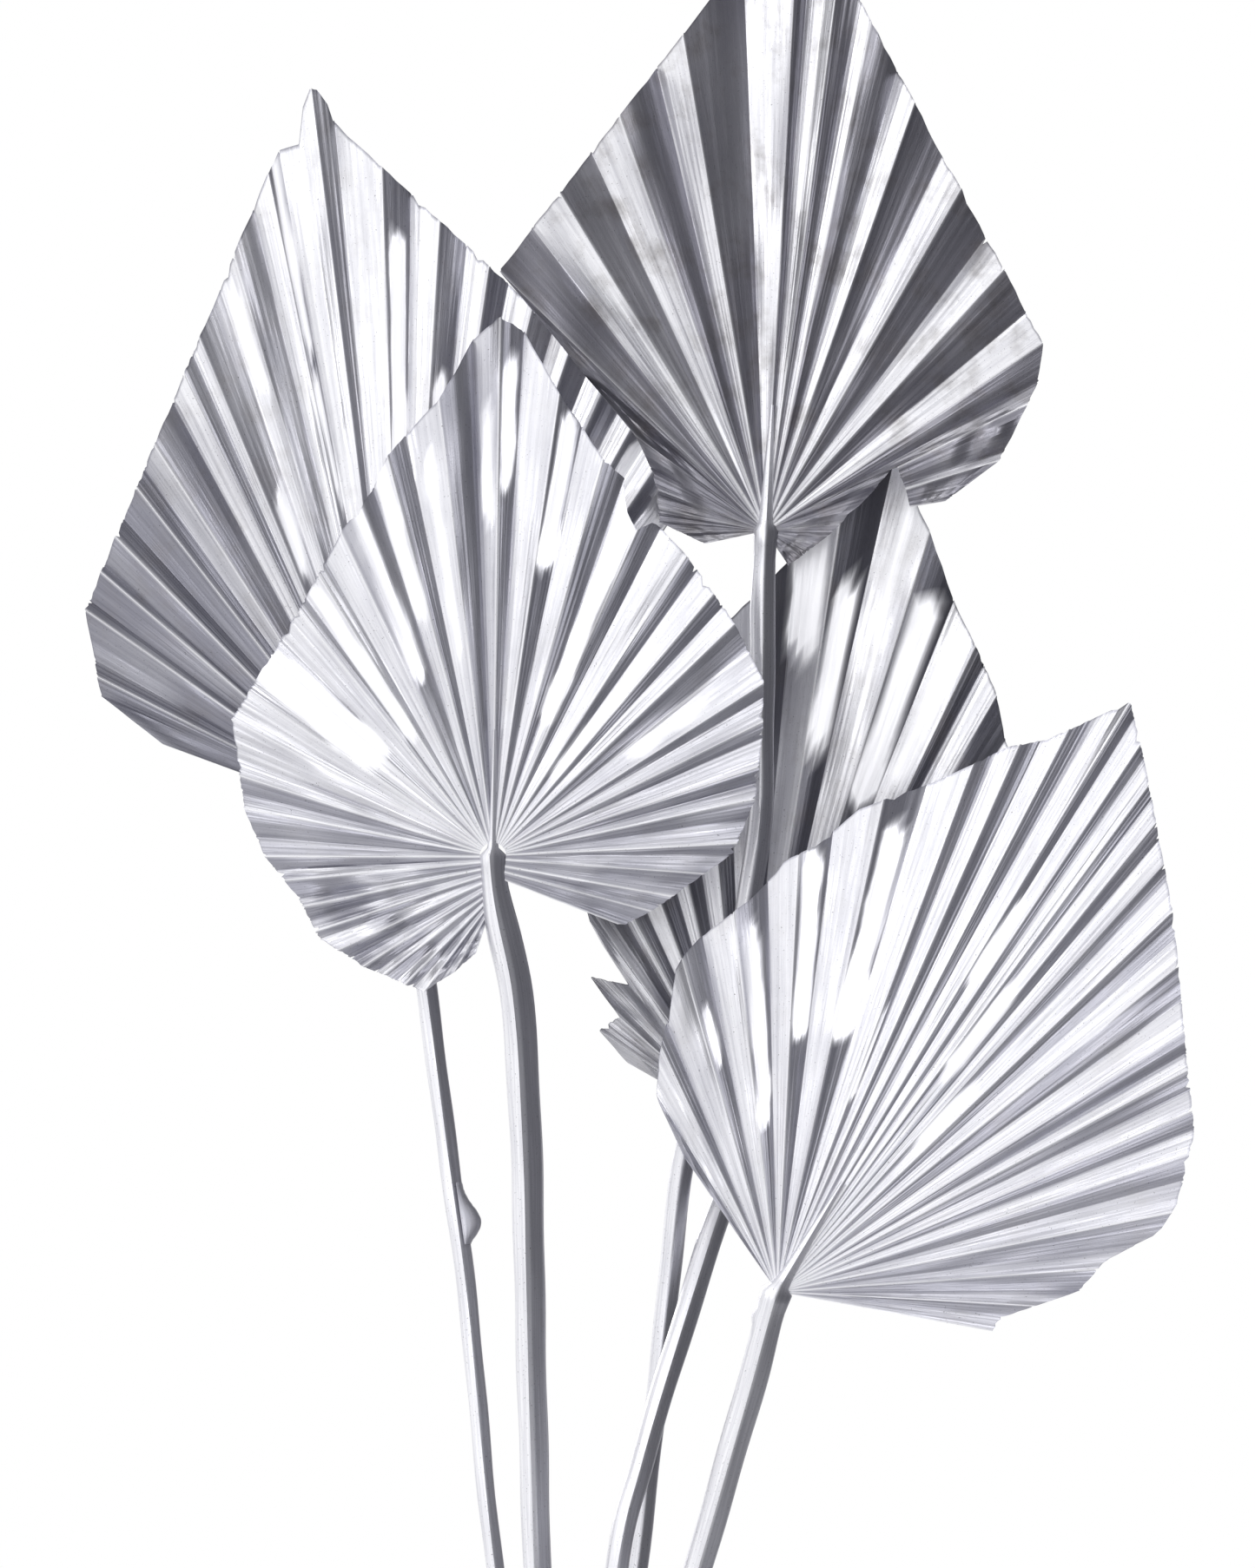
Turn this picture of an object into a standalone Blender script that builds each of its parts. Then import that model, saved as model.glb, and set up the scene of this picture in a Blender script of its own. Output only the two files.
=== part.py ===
"""A tied bunch of dried palm leaves on their stems, sprayed silver.

Metres, +Z up, +X to the right, -Y to the front. The origin is the middle of
the twine tie that holds the stems. Each leaf is a pleated blade, a knuckle
where its pleats run together, a rib on the blade's front and a stem, and the
whole leaf can be drawn up or pushed down through the tie.
"""
import math
from dataclasses import dataclass, replace

import bmesh
import bpy
from mathutils import Matrix, Vector

# Main sizes: the leaves are drawn at these and follow when one is changed
BUNCH_REACH = 0.3536         # from the tie up to the base of the highest blade
BLADE_LENGTH = 0.178         # longest blade, from its base to its tip
STEM_RADIUS = 0.0027         # thickest stem, in the tie
FOOT_LENGTH = 0.046          # longest stem end below the tie
# Blades
BLADE_THICKNESS = 0.0006
FOLD_SLOPE = 26.0            # degrees between a pleat's face and the blade
BLADE_ROWS = 4               # steps along each fold
# Knuckles and ribs
JOIN_GAP = 0.0003            # between the organs of one leaf
KNUCKLE_SWELL = 0.0009       # how far a knuckle stands out past its stem
KNUCKLE_CUT = 49.0           # degrees, where the ball of a knuckle is cut flat
RIB_LENGTH = 0.026
RIB_HEIGHT = 0.0024          # at the knuckle
RIB_TIP_HEIGHT = 0.0008
RIB_TIP_WIDTH = 0.0012
RIB_INSET = 0.0006           # a rib's foot is this much narrower than its stem, on each side
# Stems
STEM_SIDES = 10
STEM_STEPS = 3               # steps between two points of a stem's route
STEM_KEEL = 0.22             # how far the front keel stands out, as part of the radius
KEEL_START = 0.030           # height where the keel begins
KEEL_FULL = 0.090            # height where it is full
# Tie
TWINE_RADIUS = 0.001
TWINE_TURNS = 6
TURN_GAP = 0.0005            # between one turn and the next
TURN_POINTS = 24
TIE_GAP = 0.0003             # between the twine and the stems
STEM_GAP = 0.0004            # between two stems in the tie
RING_START = -18.0           # degrees, where the first stem stands in the tie
STRAIGHT_ABOVE = 0.006       # straight stem above the top turn
# Dry sheath on one stem
SHEATH_BOTTOM = 0.1884
SHEATH_LENGTH = 0.0142
SHEATH_PROUD = 0.0028
SHEATH_EDGE = 0.0006         # how far its two ends stand out
SHEATH_THICKNESS = 0.0009
SHEATH_STEPS = 8


@dataclass
class Leaf:
    """One leaf: its blade's outline and pose, and its stem's route.

    The margin runs from the left end over the tip to the right end, as
    (across, along) from the blade's base. Angles are in degrees: lean is to
    the right, pitch brings the tip forward, turn takes the right side back.
    """

    name: str
    base: tuple
    lean: float
    pitch: float
    turn: float
    cup: float               # how far forward the margins come
    curl: float              # how far back the tip bends
    left_pleats: int
    right_pleats: int
    spacing: tuple           # some folds' numbers from the axis, and their angles
    axis_ridge: bool         # the fold on the axis stands out to the front
    ear_drop: float          # how far down the stem the lowest pleats start
    ear_close: float         # and how much nearer to the axis they start there
    tear_angle: float        # pleats past this angle are torn off near the base
    tear_start: float        # and start this far from it
    tie_radius: float
    top_radius: float
    foot: float              # length of stem below the tie's middle
    route: tuple             # points of the stem between the tie and the base
    margin: tuple
    colour: tuple


# Counter-clockwise round the tie, from the one at the right
DRAWN_LEAVES = (
    Leaf(
        name="front_right", base=(0.0466, -0.030, 0.1796), lean=30.9, pitch=0.0, turn=-2.0,
        cup=0.003, curl=0.004, left_pleats=9, right_pleats=14, axis_ridge=True,
        spacing=((-8, -18.7), (-6, -10.5), (6, 8.0), (8, 11.2), (10, 15.2), (12, 20.0), (14, 26.4), (16, 30.7),
                 (18, 35.5), (20, 40.5)),
        ear_drop=0.0, ear_close=0.0, tear_angle=180.0, tear_start=0.0,
        tie_radius=0.0027, top_radius=0.0034, foot=0.044,
        route=((0.0100, -0.005, 0.050), (0.0284, -0.016, 0.1148), (0.0402, -0.024, 0.153)),
        margin=((-0.034, 0.0155), (-0.0465, 0.0239), (-0.051, 0.0328), (-0.0547, 0.0446), (-0.058, 0.052),
                (-0.0568, 0.0597), (-0.0508, 0.075), (-0.0489, 0.0854), (-0.0447, 0.092),
                (-0.0404, 0.1045), (-0.0277, 0.120), (-0.0185, 0.134), (-0.0118, 0.140),
                (0.0, 0.157), (0.0112, 0.1455), (0.034, 0.1195), (0.0512, 0.096), (0.063, 0.080),
                (0.068, 0.0643), (0.0676, 0.056), (0.0605, 0.0445), (0.059, 0.0357),
                (0.047, 0.0214), (0.0468, 0.0176)),
        colour=(0.56, 0.56, 0.62),
    ),
    Leaf(
        name="top_right", base=(0.0442, -0.005, 0.3536), lean=3.0, pitch=0.5, turn=3.0,
        cup=0.002, curl=0.004, left_pleats=9, right_pleats=9, axis_ridge=True,
        spacing=((-8, -46.0), (-6, -34.5), (-4, -22.5), (-2, -12.5), (2, 4.5), (4, 8.7), (6, 16.2), (8, 26.7),
                 (10, 39.3), (12, 52.8)),
        ear_drop=0.0, ear_close=0.0, tear_angle=59.0, tear_start=0.036,
        tie_radius=0.0021, top_radius=0.0029, foot=0.041,
        route=((0.0070, 0.006, 0.055), (0.0148, 0.008, 0.1148), (0.0206, 0.0092, 0.1664),
               (0.0258, 0.0088, 0.210), (0.0356, 0.0025, 0.244), (0.0426, -0.004, 0.284),
               (0.0434, -0.005, 0.316)),
        margin=((-0.0285, 0.0018), (-0.031, 0.020), (-0.0645, 0.0563), (0.0, 0.149),
                (0.0615, 0.0467), (0.061, 0.0376), (0.053, 0.019), (0.041, 0.009)),
        colour=(0.36, 0.36, 0.40),
    ),
    Leaf(
        name="rear_left", base=(-0.0394, 0.028, 0.284), lean=-7.2, pitch=-2.0, turn=-3.0,
        cup=0.004, curl=0.004, left_pleats=11, right_pleats=11, axis_ridge=True,
        spacing=((-16, -42.0), (-14, -37.0), (-12, -30.5), (-10, -25.5), (-8, -18.5), (-6, -15.3), (-4, -9.3)),
        ear_drop=0.0, ear_close=0.0, tear_angle=180.0, tear_start=0.0,
        tie_radius=0.0017, top_radius=0.0025, foot=0.042,
        route=((-0.0085, 0.006, 0.055), (-0.0182, 0.010, 0.1148), (-0.0244, 0.016, 0.175),
               (-0.0293, 0.021, 0.211), (-0.0338, 0.025, 0.245)),
        margin=((-0.053, 0.0275), (-0.066, 0.0405), (-0.0672, 0.061), (-0.0128, 0.1585),
                (-0.0042, 0.1635), (0.0, 0.178), (0.0035, 0.170), (0.040, 0.124), (0.068, 0.085),
                (0.067, 0.077), (0.062, 0.067), (0.052, 0.044), (0.045, 0.0285)),
        colour=(0.60, 0.60, 0.66),
    ),
    Leaf(
        name="front_left", base=(-0.0183, -0.018, 0.279), lean=0.8, pitch=4.0, turn=0.0,
        cup=-0.002, curl=0.003, left_pleats=21, right_pleats=15, spacing=(), axis_ridge=True,
        ear_drop=0.018, ear_close=0.0032, tear_angle=180.0, tear_start=0.0,
        tie_radius=0.0027, top_radius=0.0039, foot=0.046,
        route=((-0.0066, -0.0030, 0.055), (-0.0082, -0.007, 0.1148), (-0.0096, -0.0105, 0.166),
               (-0.0106, -0.014, 0.211), (-0.0129, -0.0165, 0.247)),
        margin=((-0.0036, -0.0225), (-0.0086, -0.027), (-0.0155, -0.0317), (-0.0295, -0.0258), (-0.0395, -0.0198),
                (-0.0444, -0.0106), (-0.0524, -0.001), (-0.0572, 0.010), (-0.0604, 0.0304),
                (-0.0452, 0.0557), (-0.0358, 0.0736), (-0.0285, 0.0837), (-0.0254, 0.0913),
                (-0.0138, 0.1043), (-0.0063, 0.1179), (0.0, 0.1236), (0.0056, 0.120),
                (0.0138, 0.1062), (0.024, 0.0913), (0.0359, 0.077), (0.0434, 0.0695),
                (0.0547, 0.054), (0.0616, 0.0405), (0.0614, 0.0277), (0.060, 0.0138),
                (0.055, 0.001), (0.0366, -0.0123), (0.0300, -0.0158)),
        colour=(0.64, 0.64, 0.70),
    ),
    Leaf(
        name="rear_right", base=(0.0396, 0.017, 0.2156), lean=12.6, pitch=2.5, turn=0.0,
        cup=0.0, curl=0.0, left_pleats=10, right_pleats=8, spacing=(), axis_ridge=False,
        ear_drop=0.0, ear_close=0.0, tear_angle=180.0, tear_start=0.0,
        tie_radius=0.0023, top_radius=0.0029, foot=0.043,
        route=((0.0020, -0.0080, 0.050), (0.0100, -0.0098, 0.1148), (0.0158, -0.0065, 0.1396),
               (0.0239, -0.001, 0.1664), (0.0315, 0.007, 0.190)),
        margin=((-0.030, 0.009), (-0.038, 0.015), (-0.034, 0.019), (-0.0426, 0.0266),
                (-0.0336, 0.0267), (-0.0447, 0.0378), (-0.060, 0.066), (0.0, 0.158),
                (0.0113, 0.144), (0.0206, 0.130), (0.0277, 0.121), (0.035, 0.111),
                (0.0393, 0.101), (0.062, 0.066), (0.050, 0.038), (0.038, 0.022)),
        colour=(0.46, 0.46, 0.51),
    ),
)
SHEATHED_LEAF = "rear_left"
TWINE_COLOUR = (0.42, 0.29, 0.17)


def times(points, factor):
    """Points moved out from their origin by a factor."""
    return tuple(tuple(value * factor for value in point) for point in points)


def fitted(leaf):
    """A drawn leaf brought to the main sizes."""
    rise = BUNCH_REACH / max(drawn.base[2] for drawn in DRAWN_LEAVES)
    grow = BLADE_LENGTH / max(point[1] for drawn in DRAWN_LEAVES for point in drawn.margin)
    thick = STEM_RADIUS / max(drawn.tie_radius for drawn in DRAWN_LEAVES)
    foot = FOOT_LENGTH / max(drawn.foot for drawn in DRAWN_LEAVES)
    return replace(
        leaf, base=times((leaf.base,), rise)[0], route=times(leaf.route, rise),
        margin=times(leaf.margin, grow), cup=leaf.cup * grow, curl=leaf.curl * grow,
        ear_drop=leaf.ear_drop * grow, ear_close=leaf.ear_close * grow,
        tear_start=leaf.tear_start * grow, tie_radius=leaf.tie_radius * thick,
        top_radius=leaf.top_radius * thick, foot=leaf.foot * foot)


LEAVES = tuple(fitted(leaf) for leaf in DRAWN_LEAVES)


def clear_scene():
    """Remove whatever the file holds."""
    for item in list(bpy.data.objects):
        bpy.data.objects.remove(item, do_unlink=True)


def material(name, colour, roughness, metallic):
    """Principled material with plain values."""
    made = bpy.data.materials.new(name)
    made.use_nodes = True
    shader = made.node_tree.nodes["Principled BSDF"]
    shader.inputs["Base Color"].default_value = (*colour, 1.0)
    shader.inputs["Roughness"].default_value = roughness
    shader.inputs["Metallic"].default_value = metallic
    return made


def add_object(name, bm, finish, parent=None, place=None, turn=None, smooth=40.0):
    """Put a finished bmesh into the scene as a named object."""
    bmesh.ops.recalc_face_normals(bm, faces=bm.faces)
    mesh = bpy.data.meshes.new(name)
    bm.to_mesh(mesh)
    bm.free()
    mesh.materials.append(finish)
    mesh.shade_smooth()
    mesh.set_sharp_from_angle(angle=math.radians(smooth))
    made = bpy.data.objects.new(name, mesh)
    bpy.context.scene.collection.objects.link(made)
    made.parent = parent
    if place is not None:
        made.location = place
    if turn is not None:
        made.rotation_euler = turn.to_euler()
    return made


def skin_rings(bm, rings):
    """Join closed rings of points into one capped body."""
    rows = [[bm.verts.new(point) for point in ring] for ring in rings]
    count = len(rows[0])
    for low, high in zip(rows, rows[1:]):
        for k in range(count):
            n = (k + 1) % count
            bm.faces.new((low[k], low[n], high[n], high[k]))
    bm.faces.new(rows[0])
    bm.faces.new(rows[-1])


def cross(a, b):
    return a[0] * b[1] - a[1] * b[0]


def bearing(point):
    """Angle of a margin point from the leaf's axis, to the right."""
    return math.atan2(point[0], point[1])


def knuckle_radius(leaf):
    return leaf.top_radius + KNUCKLE_SWELL


def knuckle_end(leaf):
    """Distance from a knuckle's middle to its flat ends."""
    return knuckle_radius(leaf) * math.sin(math.radians(KNUCKLE_CUT))


def pose(leaf):
    """Rotation that stands a blade in the bunch."""
    return (Matrix.Rotation(math.radians(leaf.lean), 3, "Y")
            @ Matrix.Rotation(math.radians(leaf.pitch), 3, "X")
            @ Matrix.Rotation(math.radians(leaf.turn), 3, "Z"))


def reach(leaf, angle):
    """Point of the margin that a fold at this angle runs to."""
    way = (math.sin(angle), math.cos(angle))
    for a, b in zip(leaf.margin, leaf.margin[1:]):
        if bearing(a) - 1e-9 <= angle <= bearing(b) + 1e-9:
            side = (b[0] - a[0], b[1] - a[1])
            length = cross(a, side) / cross(way, side)
            return Vector((way[0] * length, way[1] * length))
    raise ValueError(f"{leaf.name} has no margin at {math.degrees(angle):.1f} degrees")


def fold_angles(leaf):
    """Angles of all folds, evenly spaced between those that have a set angle.

    The fold nearest to each corner of the margin runs to that corner.
    """
    left, right = bearing(leaf.margin[0]), bearing(leaf.margin[-1])
    n_left, n_right = 2 * leaf.left_pleats, 2 * leaf.right_pleats
    marks = [(-n_left, left), (0, 0.0), (n_right, right)]
    marks = sorted(marks + [(k, math.radians(angle)) for k, angle in leaf.spacing])
    angles = [left]
    for (k, low), (end, high) in zip(marks, marks[1:]):
        angles += [low + (high - low) * step / (end - k) for step in range(1, end - k)]
        angles.append(high)
    taken = {0, n_left, n_left + n_right}
    for corner in leaf.margin[1:-1]:
        near = min(range(len(angles)), key=lambda i: abs(angles[i] - bearing(corner)))
        if near not in taken:
            angles[near] = bearing(corner)
            taken.add(near)
    return angles


def fold_start(leaf, angle):
    """Point where a fold leaves the knuckle, or the stem's side below it."""
    rim = knuckle_radius(leaf) + JOIN_GAP
    if angle > math.radians(leaf.tear_angle):
        rim = leaf.tear_start
    if abs(angle) <= math.pi / 2:
        return Vector((rim * math.sin(angle), rim * math.cos(angle)))
    part = (abs(angle) - math.pi / 2) / (math.pi / 2)
    return Vector((math.copysign(rim - leaf.ear_close * part, angle), -leaf.ear_drop * part))


def bow(leaf, across, along):
    """How far the blade's middle surface lies in front of its flat plane."""
    half = max(abs(point[0]) for point in leaf.margin)
    length = max(point[1] for point in leaf.margin)
    return leaf.cup * (across / half) ** 2 - leaf.curl * (max(along, 0.0) / length) ** 2


def fold_rise(leaf, angles, k, distance):
    """Height of a ridge, or depth of a valley, at a distance from the base."""
    low, high = angles[max(k - 1, 0)], angles[min(k + 1, len(angles) - 1)]
    spread = (high - low) / (2 if 0 < k < len(angles) - 1 else 1)
    rise = math.tan(math.radians(FOLD_SLOPE)) * distance * spread / 2
    out = (k - 2 * leaf.left_pleats) % 2 == 0
    return rise if out == leaf.axis_ridge else -rise


def blade_mesh(leaf):
    """Pleated sheet of even thickness between the knuckle and the margin."""
    bm = bmesh.new()
    angles = fold_angles(leaf)
    front, back = [], []
    for k, angle in enumerate(angles):
        start, end = fold_start(leaf, angle), reach(leaf, angle)
        front.append([])
        back.append([])
        for row in range(BLADE_ROWS + 1):
            spot = start.lerp(end, row / BLADE_ROWS)
            lift = bow(leaf, spot.x, spot.y) + fold_rise(leaf, angles, k, spot.length)
            front[k].append(bm.verts.new((spot.x, -lift - BLADE_THICKNESS / 2, spot.y)))
            back[k].append(bm.verts.new((spot.x, -lift + BLADE_THICKNESS / 2, spot.y)))
    last, top = len(angles) - 1, BLADE_ROWS
    for k in range(last):
        for row in range(top):
            for side in (front, back):
                a, b = side[k][row], side[k + 1][row]
                c, d = side[k + 1][row + 1], side[k][row + 1]
                bm.faces.new((a, b, c))
                bm.faces.new((a, c, d))
        for row in (0, top):
            bm.faces.new((front[k][row], front[k + 1][row], back[k + 1][row], back[k][row]))
    for k in (0, last):
        for row in range(top):
            bm.faces.new((front[k][row], front[k][row + 1], back[k][row + 1], back[k][row]))
    return bm


def knuckle_mesh(leaf):
    """Ball cut flat at the top and bottom, where rib and stem meet it."""
    bm = bmesh.new()
    radius, rings, sides = knuckle_radius(leaf), 6, 12
    layers = []
    for ring in range(rings + 1):
        up = math.radians(KNUCKLE_CUT) * (2 * ring / rings - 1)
        layers.append([Vector((radius * math.cos(up) * math.sin(math.tau * k / sides),
                               -radius * math.cos(up) * math.cos(math.tau * k / sides),
                               radius * math.sin(up))) for k in range(sides)])
    skin_rings(bm, layers)
    return bm


def crest(leaf, along, half_width):
    """Front of the highest ridge under a strip of this half width."""
    angles = fold_angles(leaf)
    top = 0.0
    for k, angle in enumerate(angles):
        across = along * math.tan(angle) if abs(angle) < math.pi / 3 else half_width * 9
        if abs(across) <= half_width * 1.5 + BLADE_THICKNESS or angle == 0.0:
            rise = fold_rise(leaf, angles, k, math.hypot(across, along))
            top = max(top, bow(leaf, across, along) + rise)
    return top + BLADE_THICKNESS / 2


def rib_mesh(leaf):
    """Keeled strip that runs from the knuckle up the front of the blade."""
    bm = bmesh.new()
    steps = 8
    foot = knuckle_end(leaf) + JOIN_GAP
    rings = []
    for step in range(steps + 1):
        part = step / steps
        along = foot + RIB_LENGTH * part
        half = (leaf.top_radius - RIB_INSET) * (1 - part) + RIB_TIP_WIDTH / 2 * part
        height = RIB_HEIGHT * (1 - part) + RIB_TIP_HEIGHT * part
        seat = crest(leaf, along, half) + JOIN_GAP
        section = ((-half, 0.0), (-0.7 * half, 0.6 * height), (0.0, height),
                   (0.7 * half, 0.6 * height), (half, 0.0))
        rings.append([Vector((x, -(seat + y), along)) for x, y in section])
    skin_rings(bm, rings)
    return bm


def tie_ring():
    """Places of the stems in the tie, side by side round a ring."""
    count = len(LEAVES)

    def spans(radius):
        found = []
        for k, leaf in enumerate(LEAVES):
            chord = leaf.tie_radius + LEAVES[(k + 1) % count].tie_radius + STEM_GAP
            found.append(2 * math.asin(min(chord / (2 * radius), 1.0)))
        return found

    low = max(leaf.tie_radius for leaf in LEAVES) + STEM_GAP
    high = sum(2 * leaf.tie_radius + STEM_GAP for leaf in LEAVES)
    for _ in range(60):
        middle = (low + high) / 2
        if sum(spans(middle)) > math.tau:
            low = middle
        else:
            high = middle
    places, angle = [], math.radians(RING_START)
    for span in spans(high):
        places.append(Vector((high * math.cos(angle), high * math.sin(angle), 0.0)))
        angle += span
    return places


def tie_height():
    """Height of the wound turns, from the middle of the first to the last."""
    return TWINE_TURNS * (2 * TWINE_RADIUS + TURN_GAP)


def stem_top(leaf):
    """Middle of a stem's top end, under the flat of its knuckle."""
    axis = pose(leaf) @ Vector((0.0, 0.0, 1.0))
    return Vector(leaf.base) - axis * (knuckle_end(leaf) + JOIN_GAP), axis


def stem_line(leaf, place):
    """Middle line of a stem from its cut end to its knuckle, with radii."""
    top, axis = stem_top(leaf)
    straight = tie_height() / 2 + TWINE_RADIUS + STRAIGHT_ABOVE
    knots = [place + Vector((0.0, 0.0, straight))]
    knots += [Vector(point) for point in leaf.route]
    knots.append(top)
    slopes = []
    for k, knot in enumerate(knots):
        if k == 0:
            slopes.append(Vector((0.0, 0.0, (knots[1] - knot).length)))
        elif k == len(knots) - 1:
            slopes.append(axis * (knot - knots[k - 1]).length)
        else:
            slopes.append((knots[k + 1] - knots[k - 1]) / 2)
    line = [(place + Vector((0.0, 0.0, -leaf.foot)), Vector((0.0, 0.0, 1.0)))]
    for k in range(len(knots) - 1):
        a, b, da, db = knots[k], knots[k + 1], slopes[k], slopes[k + 1]
        for step in range(STEM_STEPS):
            t = step / STEM_STEPS
            spot = (a * (2 * t**3 - 3 * t**2 + 1) + da * (t**3 - 2 * t**2 + t)
                    + b * (3 * t**2 - 2 * t**3) + db * (t**3 - t**2))
            way = (a * (6 * t**2 - 6 * t) + da * (3 * t**2 - 4 * t + 1)
                   + b * (6 * t - 6 * t**2) + db * (3 * t**2 - 2 * t))
            line.append((spot, way.normalized()))
    line.append((top, axis))
    found = []
    for spot, way in line:
        part = min(max((spot.z - straight) / (top.z - straight), 0.0), 1.0)
        radius = leaf.tie_radius + (leaf.top_radius - leaf.tie_radius) * part
        found.append((spot, way, radius))
    return found


def keel(height):
    """Part of the full keel that a stem has at this height."""
    part = min(max((height - KEEL_START) / (KEEL_FULL - KEEL_START), 0.0), 1.0)
    return STEM_KEEL * part * part * (3 - 2 * part)


def stem_sides(way):
    """Right and front of a stem that runs this way."""
    ahead = Vector((0.0, -1.0, 0.0))
    ahead = (ahead - way * way.dot(ahead)).normalized()
    return ahead.cross(way) * -1.0, ahead


def stem_mesh(leaf, place):
    """Round stem with a keel on its front, cut square at the foot."""
    bm = bmesh.new()
    rings = []
    for spot, way, radius in stem_line(leaf, place):
        right, ahead = stem_sides(way)
        ring = []
        for k in range(STEM_SIDES):
            angle = math.tau * k / STEM_SIDES
            out = radius * (1 + keel(spot.z) * max(math.cos(angle), 0.0) ** 6)
            ring.append(spot + (right * math.sin(angle) + ahead * math.cos(angle)) * out - place)
        rings.append(ring)
    skin_rings(bm, rings)
    return bm


def sheath_mesh(leaf, place):
    """Thin fin of dry sheath along the right side of a stem."""
    bm = bmesh.new()
    line = stem_line(leaf, place)
    rings = []
    for step in range(SHEATH_STEPS + 1):
        part = step / SHEATH_STEPS
        height = SHEATH_BOTTOM + SHEATH_LENGTH * part
        low, high = next((a, b) for a, b in zip(line, line[1:]) if a[0].z <= height <= b[0].z)
        t = (height - low[0].z) / (high[0].z - low[0].z)
        spot, way = low[0].lerp(high[0], t), low[1].lerp(high[1], t).normalized()
        radius = low[2] + (high[2] - low[2]) * t
        right, ahead = stem_sides(way)
        near = radius + JOIN_GAP
        swell = math.sin(math.pi * (1 - part) ** 2)
        far = near + SHEATH_EDGE + (SHEATH_PROUD - SHEATH_EDGE) * swell
        half = SHEATH_THICKNESS / 2
        rings.append([spot + right * x + ahead * y - place
                      for x, y in ((near, -half), (far, -half), (far, half), (near, half))])
    skin_rings(bm, rings)
    return bm


def twine_points(places):
    """Turns of twine drawn round the stems, each end straight."""
    grip = [leaf.tie_radius + TIE_GAP + TWINE_RADIUS for leaf in LEAVES]
    total = TWINE_TURNS * TURN_POINTS
    points = []
    for k in range(total + 1):
        angle = math.tau * k / TURN_POINTS
        out = Vector((math.cos(angle), math.sin(angle), 0.0))
        far = max(range(len(places)), key=lambda i: places[i].dot(out) + grip[i])
        spot = places[far] + out * grip[far]
        spot.z = tie_height() * (k / total - 0.5)
        points.append(spot)
    first = (points[0] - points[1]).normalized() * 2 * TWINE_RADIUS
    last = (points[-1] - points[-2]).normalized() * 2 * TWINE_RADIUS
    return [points[0] + first] + points + [points[-1] + last]


def least_gap(points):
    """Smallest gap between the twine and itself, half a turn or more on."""
    found = min((points[i] - points[j]).length for i in range(len(points))
                for j in range(i + TURN_POINTS // 2, len(points)))
    return found - 2 * TWINE_RADIUS


def add_twine(places):
    """Wound twine as one tube."""
    points = twine_points(places)
    print(f"twine_tie: least gap to itself {least_gap(points) * 1000:.3f} mm")
    curve = bpy.data.curves.new("twine_tie", "CURVE")
    curve.dimensions = "3D"
    curve.bevel_depth = TWINE_RADIUS
    curve.bevel_resolution = 1
    curve.use_fill_caps = True
    spline = curve.splines.new("POLY")
    spline.points.add(len(points) - 1)
    for knot, spot in zip(spline.points, points):
        knot.co = (*spot, 1.0)
    curve.materials.append(material("twine", TWINE_COLOUR, 0.9, 0.0))
    made = bpy.data.objects.new("twine_tie", curve)
    bpy.context.scene.collection.objects.link(made)


def add_leaf(leaf, place):
    """All organs of one leaf, carried by an empty on its slide."""
    slide = bpy.data.objects.new(f"{leaf.name}_slide", None)
    slide.location = place
    bpy.context.scene.collection.objects.link(slide)
    stand, turn = Vector(leaf.base) - place, pose(leaf)
    for organ, bm in (("blade", blade_mesh(leaf)), ("knuckle", knuckle_mesh(leaf)),
                      ("rib", rib_mesh(leaf))):
        name = f"{leaf.name}_{organ}"
        add_object(name, bm, material(name, leaf.colour, 0.38, 0.8), slide, stand, turn)
    name = f"{leaf.name}_stem"
    add_object(name, stem_mesh(leaf, place), material(name, leaf.colour, 0.35, 0.8), slide)
    if leaf.name == SHEATHED_LEAF:
        name = f"{leaf.name}_sheath"
        add_object(name, sheath_mesh(leaf, place), material(name, leaf.colour, 0.5, 0.6), slide)


def main():
    clear_scene()
    places = tie_ring()
    for leaf, place in zip(LEAVES, places):
        add_leaf(leaf, place)
        print(f"{leaf.name}: tie place {place.x * 1000:.2f}, {place.y * 1000:.2f} mm")
    add_twine(places)


main()
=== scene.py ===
"""Looks of a tied bunch of dried palm leaves that were sprayed silver.

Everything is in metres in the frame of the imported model: +Z is up, +X to the
right, -Y to the front, and the origin is the middle of the twine tie. Each
leaf is a finely pleated fan and a stalk that runs through into the fan's
front, and the twine is laid up from three strands.
"""
import logging
import math
from dataclasses import dataclass
from enum import Enum
from typing import Any

import bpy
import numpy as np
from mathutils import Matrix, Vector


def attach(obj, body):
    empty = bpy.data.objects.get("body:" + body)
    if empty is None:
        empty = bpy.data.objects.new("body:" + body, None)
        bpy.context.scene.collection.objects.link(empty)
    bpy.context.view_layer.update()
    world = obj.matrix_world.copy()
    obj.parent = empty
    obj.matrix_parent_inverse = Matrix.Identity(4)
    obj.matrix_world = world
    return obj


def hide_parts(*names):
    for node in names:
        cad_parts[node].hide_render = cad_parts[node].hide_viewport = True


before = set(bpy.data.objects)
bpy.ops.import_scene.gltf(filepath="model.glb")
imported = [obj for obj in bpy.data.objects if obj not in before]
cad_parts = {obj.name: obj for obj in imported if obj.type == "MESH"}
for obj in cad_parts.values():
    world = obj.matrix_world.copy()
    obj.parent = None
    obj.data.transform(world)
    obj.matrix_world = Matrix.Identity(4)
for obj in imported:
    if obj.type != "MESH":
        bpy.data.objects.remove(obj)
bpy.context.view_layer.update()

LOG = logging.getLogger("palm_bunch")
MM = 0.001

Pairs = tuple[tuple[float, float], ...]
Places = tuple[tuple[float, float, float], ...]

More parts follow.
